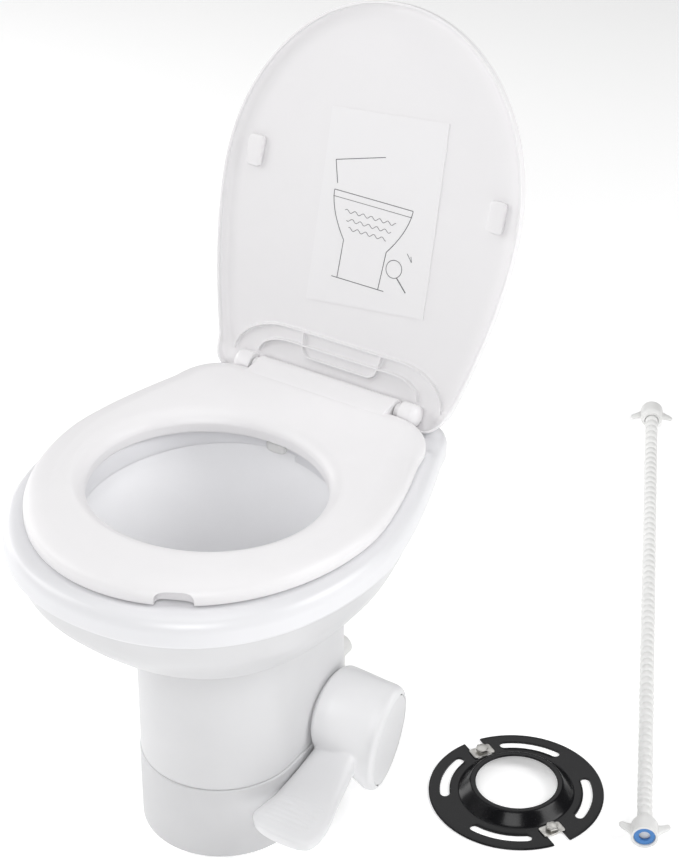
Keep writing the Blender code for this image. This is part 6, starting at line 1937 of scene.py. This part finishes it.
@dataclass
class Pedal:
    """The foot pedal: one fused skin of drum, arm and tread, and the oval cap."""

    finishes: Finishes
    inner_x: float = 0.0895
    outer_x: float = 0.1570
    radius: float = 0.0500
    end: tuple[float, float, float, float] = (0.0480, 0.0950, 0.0600, 0.0330)
    tilt_deg: float = 27.0
    edge: float = 0.0080
    shares: tuple[Triple, ...] = (
        (0, 0, 0.3), (0.04, 0, 0), (0.22, 0.10, 0), (0.45, 0.38, 0), (0.68, 0.74, 0), (0.87, 1, 0),
        (0.94, 1, 0.18), (0.985, 1, 0.55), (1, 1, 1))
    sections: tuple[tuple[float, ...], ...] = (
        (0.0300, 0.0950, 0.1320, 0.1100, 0.0740), (0.0050, 0.0910, 0.1390, 0.0975, 0.0630),
        (-0.0230, 0.0905, 0.1460, 0.0900, 0.0600), (-0.0500, 0.0900, 0.1530, 0.0850, 0.0605),
        (-0.0720, 0.0895, 0.1600, 0.0820, 0.0610), (-0.0900, 0.0872, 0.1640, 0.0805, 0.0612),
        (-0.1060, 0.0850, 0.1655, 0.0797, 0.0615), (-0.1180, 0.0930, 0.1630, 0.0790, 0.0622),
        (-0.1240, 0.1050, 0.1550, 0.0778, 0.0640), (-0.1265, 0.1180, 0.1450, 0.0755, 0.0665))
    arm_power: float = 0.55
    voxel: float = 0.0012
    ridges: int = 7
    ridge_pitch: float = 0.0068
    ridge_from: float = -0.1130
    ridge_height: float = 0.0006
    ridge_bell: float = 0.0010
    ridge_fade: float = 0.0040
    tread_middle: Triple = (0.1255, 0.0900, -0.03)    # x, behind, lean
    tread_half: float = 0.0290
    socket: Pair = (0.0063, 0.0600)    # radius, depth
    cap_depth: float = 0.0033
    cap_play: float = 0.0004
    pip_size: Triple = (0.0012, 0.0022, 0.0016)

    def section(self, x: Array, share: Array, shrink: Array, count: int = 96) -> Array:
        """Rings of the drum: a circle about the axle blending into a tilted oval.

        Args:
            x: Where each ring stands.
            share: 0 is the circle, 1 the oval.
            shrink: How far each ring is drawn in.
            count: Points of a ring.

        Returns:
            Points of shape (rings, count, 3).
        """
        t = TAU * np.arange(count) / count
        tilt = math.radians(self.tilt_deg)
        c, s = np.cos(t), np.sin(t)
        x, share, shrink = (np.asarray(v, float)[:, None] for v in (x, share, shrink))
        ring = self.radius - shrink
        round_y = AXLE_Y + ring * (c * math.sin(tilt) + s * math.cos(tilt))
        round_z = AXLE_Z + ring * (c * math.cos(tilt) - s * math.sin(tilt))
        end_y, end_z, long_way, short_way = self.end
        far, near = (long_way - shrink) * c, (short_way - shrink) * s
        oval_y = end_y + far * math.sin(tilt) + near * math.cos(tilt)
        oval_z = end_z + far * math.cos(tilt) - near * math.sin(tilt)
        return np.stack([x + 0 * c, round_y + (oval_y - round_y) * share,
                         round_z + (oval_z - round_z) * share], -1)

    def drum(self) -> Surface:
        """The drum's skin with its rounded outer edge.

        Returns:
            The closed surface.
        """
        along, share, shrink = np.array(self.shares).T
        rings = self.section(self.inner_x + (self.outer_x - self.inner_x) * along, share,
                             shrink * self.edge)
        return Surface.closed(refined(rings, (1,), False, Fineness(0.003, 8, 0.0005)))

    def arm(self) -> Surface:
        """The arm's skin: squarish sections that widen into the tread.

        Returns:
            The closed surface.
        """
        y, left, right, top, low = (v[:, None] for v in np.array(self.sections).T)
        c, s = super_ring(64, self.arm_power)
        rings = np.stack([(left + right + (right - left) * c) / 2, y + 0 * c,
                          (top + low + (top - low) * s) / 2], -1)
        return Surface.closed(refined(rings, (), False, Fineness(0.003, 8, 0.0010)))

    def add_ridges(self, thing: Object) -> None:
        """Raises the tread's grip lines: each is a bell across Y, faded at the tread's sides.

        Args:
            thing: The pedal, which is changed.
        """
        points, normals = read_points(thing.data), read_points(thing.data, "normal")
        row = (points[:, 1] - self.ridge_from) / self.ridge_pitch
        near = np.abs(row - np.round(row)) * self.ridge_pitch
        held = (np.round(row) >= 0) & (np.round(row) < self.ridges)
        bell = np.exp(-0.5 * (near / self.ridge_bell) ** 2) * held
        at, behind, lean = self.tread_middle
        middle = at + lean * (points[:, 1] + behind)
        side = smooth_step((self.tread_half - np.abs(points[:, 0] - middle)) / self.ridge_fade)
        up = smooth_step((normals[:, 2] - 0.85) / 0.1)
        points[:, 2] += self.ridge_height * bell * side * up
        write_points(thing.data, points)

    def build(self) -> None:
        """Fuses drum and arm, cuts the cap's seat and the axle's socket, and makes the cap."""
        pedal = shape("pedal_moulding", self.drum().joined(self.arm()))
        remeshed(pedal, self.voxel, 10)
        self.add_ridges(pedal)
        floor = self.outer_x - self.cap_depth
        seat = self.section([floor, self.outer_x + 0.004], [1, 1], [self.edge] * 2)
        radius, depth = self.socket
        to_axle = along_axis((1, 0, 0), (self.inner_x - 0.004, AXLE_Y, AXLE_Z))
        carve(pedal, [Surface.closed(seat), rod(radius, 0, depth, 40).moved(to_axle)])
        # The brighter copy of the shell white paints light on the pedal and its cap.
        white = self.finishes.pedal
        settle(pedal, Placement(Body.PEDAL, white, "shell_white", ("flush_pedal",), 50))
        edge = self.edge + self.cap_play
        x = [floor + GAP, *(self.outer_x + out for out in (-0.0012, -0.0003, 0, 0.0003))]
        cap = self.section(x, [1] * 5, [edge, edge, edge + 0.0003, edge + 0.0010, edge + 0.0160])
        rows = refined(cap, (0,), False, Fineness(0.003, 10, 0.0003, 0.0001))
        piece("oval_cap", Surface.closed(rows),
              Placement(Body.PEDAL, white, "shell_white", ("pedal_cap",)))
        self.make_pips()

    def make_pips(self) -> None:
        """Two small near-black pips at the ends of the cap's seam: painted shade of the seam's
        gaps.
        """
        tilt = math.radians(self.tilt_deg)
        end_y, end_z, long_way, _ = self.end
        pips = []
        for sign in (-1, 1):
            reach = sign * (long_way - self.edge - 0.0002)
            centre = (self.outer_x - 0.0004, end_y + reach * math.sin(tilt),
                      end_z + reach * math.cos(tilt))
            pips.append(rounded_block(self.pip_size, centre, 0.8, 20, 10))
        piece("cap_seam_shade_pips", pips[0].joined(pips[1]),
              Placement(Body.PEDAL, self.finishes.dark, "shell_white"))


# What keeps its CAD shape


def dress_nodes(finishes: Finishes) -> None:
    """Gives every CAD node that still shows its slot's finish.

    Args:
        finishes: The finishes.
    """
    slots = {part["node"]: part["material_slot"] for part in frame["record"]["subparts"]}
    for name, node in frame["nodes"].items():
        material = finishes.by_slot[slots[name]]
        if not node.material_slots:
            node.data.materials.append(material)
        for holder in node.material_slots:
            holder.material = material
        if not node.hide_render:
            LOG.info("%s keeps its CAD shape, in %s", name, material.name)


# Studio


@dataclass
class Studio:
    """Plain pale floor, soft light and the photograph's camera."""

    azimuth_deg: float = 32.28
    elevation_deg: float = 32.19
    distance: float = 2.49384
    target: Triple = (0.12367, 0.0, 0.50317)
    lens: float = 106.67
    sensor: float = 36.0
    floor_size: float = 30.0
    world: float = 0.14
    floor_glow: float = 0.32
    lamp_size: float = 1.5
    aim: Triple = (0.05, 0.0, 0.35)
    lamps: tuple[tuple[str, Triple, float], ...] = (
        ("left_high", (-2.0, -1.2, 1.9), 27.0), ("left_side", (-2.6, 0.3, 0.9), 24.0),
        ("front_high", (1.2, -2.2, 2.0), 38.0), ("right_high", (2.2, 0.8, 1.9), 35.0),
        ("right_side", (2.5, 1.0, 0.8), 4.0), ("top_soft", (0.0, 0.0, 3.0), 12.0),
        ("back_top", (-0.8, 2.0, 2.2), 9.0))

    def make_camera(self) -> None:
        """The camera: on a sphere about its target, looking at it."""
        a, e = math.radians(self.azimuth_deg), math.radians(self.elevation_deg)
        back = mathutils.Vector((math.sin(a) * math.cos(e), -math.cos(a) * math.cos(e),
                                 math.sin(e)))
        data = bpy.data.cameras.new("photo_camera")
        data.lens, data.sensor_width, data.clip_end = self.lens, self.sensor, 100.0
        camera = bpy.data.objects.new("photo_camera", data)
        camera.location = mathutils.Vector(self.target) + back * self.distance
        camera.rotation_euler = (-back).to_track_quat("-Z", "Y").to_euler()
        bpy.context.scene.collection.objects.link(camera)
        bpy.context.scene.camera = camera

    def make_floor(self) -> None:
        """A wide pale floor with a faint mottle."""
        half = self.floor_size / 2
        corners = np.array([[-half, -half, 0], [half, -half, 0], [half, half, 0], [-half, half, 0]])
        floor = shape("studio_floor", Surface(corners.astype(float), np.array([[0, 1, 2, 3]])))
        material, tree, shader = start_material("pale_floor")
        at = tree.add("TexCoord").outputs["Object"]
        noise = tree.add("TexNoise", in_Scale=3.0, in_Detail=3.0)
        tree.link(at, noise.inputs["Vector"])
        tree.link(tree.blend(noise.outputs[0], (0.90, 0.90, 0.90), (0.88, 0.88, 0.88)),
                  shader.inputs["Base Color"])
        shader.inputs["Roughness"].default_value = 0.9
        shader.inputs["Emission Color"].default_value = (1.0, 1.0, 1.0, 1.0)
        shader.inputs["Emission Strength"].default_value = self.floor_glow
        floor.data.materials.append(material)

    def make_lamp(self, name: str, at: Sequence[float], power: float) -> None:
        """A square area lamp aimed at the toilet, unseen by the camera itself.

        Args:
            name: Its name.
            at: Where it stands.
            power: Its watts.
        """
        data = bpy.data.lights.new(name, "AREA")
        data.shape, data.size, data.energy = "SQUARE", self.lamp_size, power
        lamp = bpy.data.objects.new(name, data)
        lamp.location = at
        way = mathutils.Vector(self.aim) - mathutils.Vector(at)
        lamp.rotation_euler = way.to_track_quat("-Z", "Y").to_euler()
        lamp.visible_camera = False
        bpy.context.scene.collection.objects.link(lamp)

    def build(self) -> None:
        """Sets the camera, the floor, the world's even light and the lamps."""
        self.make_camera()
        self.make_floor()
        world = bpy.data.worlds.new("studio_world")
        world.use_nodes = True
        sky = world.node_tree.nodes["Background"]
        sky.inputs["Color"].default_value = (1.0, 1.0, 1.0, 1.0)
        sky.inputs["Strength"].default_value = self.world
        bpy.context.scene.world = world
        bpy.context.scene.view_settings.view_transform = "Standard"
        for lamp in self.lamps:
            self.make_lamp(*lamp)


def main() -> None:
    """Builds the studio, the hose and then every assembly."""
    logging.basicConfig(level=logging.INFO, format="%(name)s: %(message)s")
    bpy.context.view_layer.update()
    Studio().build()
    finishes = Finishes()
    WaterHose(finishes).build()
    for assembly in (FloorFlange, Bowl, Seat, Lid, Pedal):
        assembly(finishes).build()
        LOG.info("%s is done", assembly.__name__)
    dress_nodes(finishes)


if __name__ == "__main__":
    main()
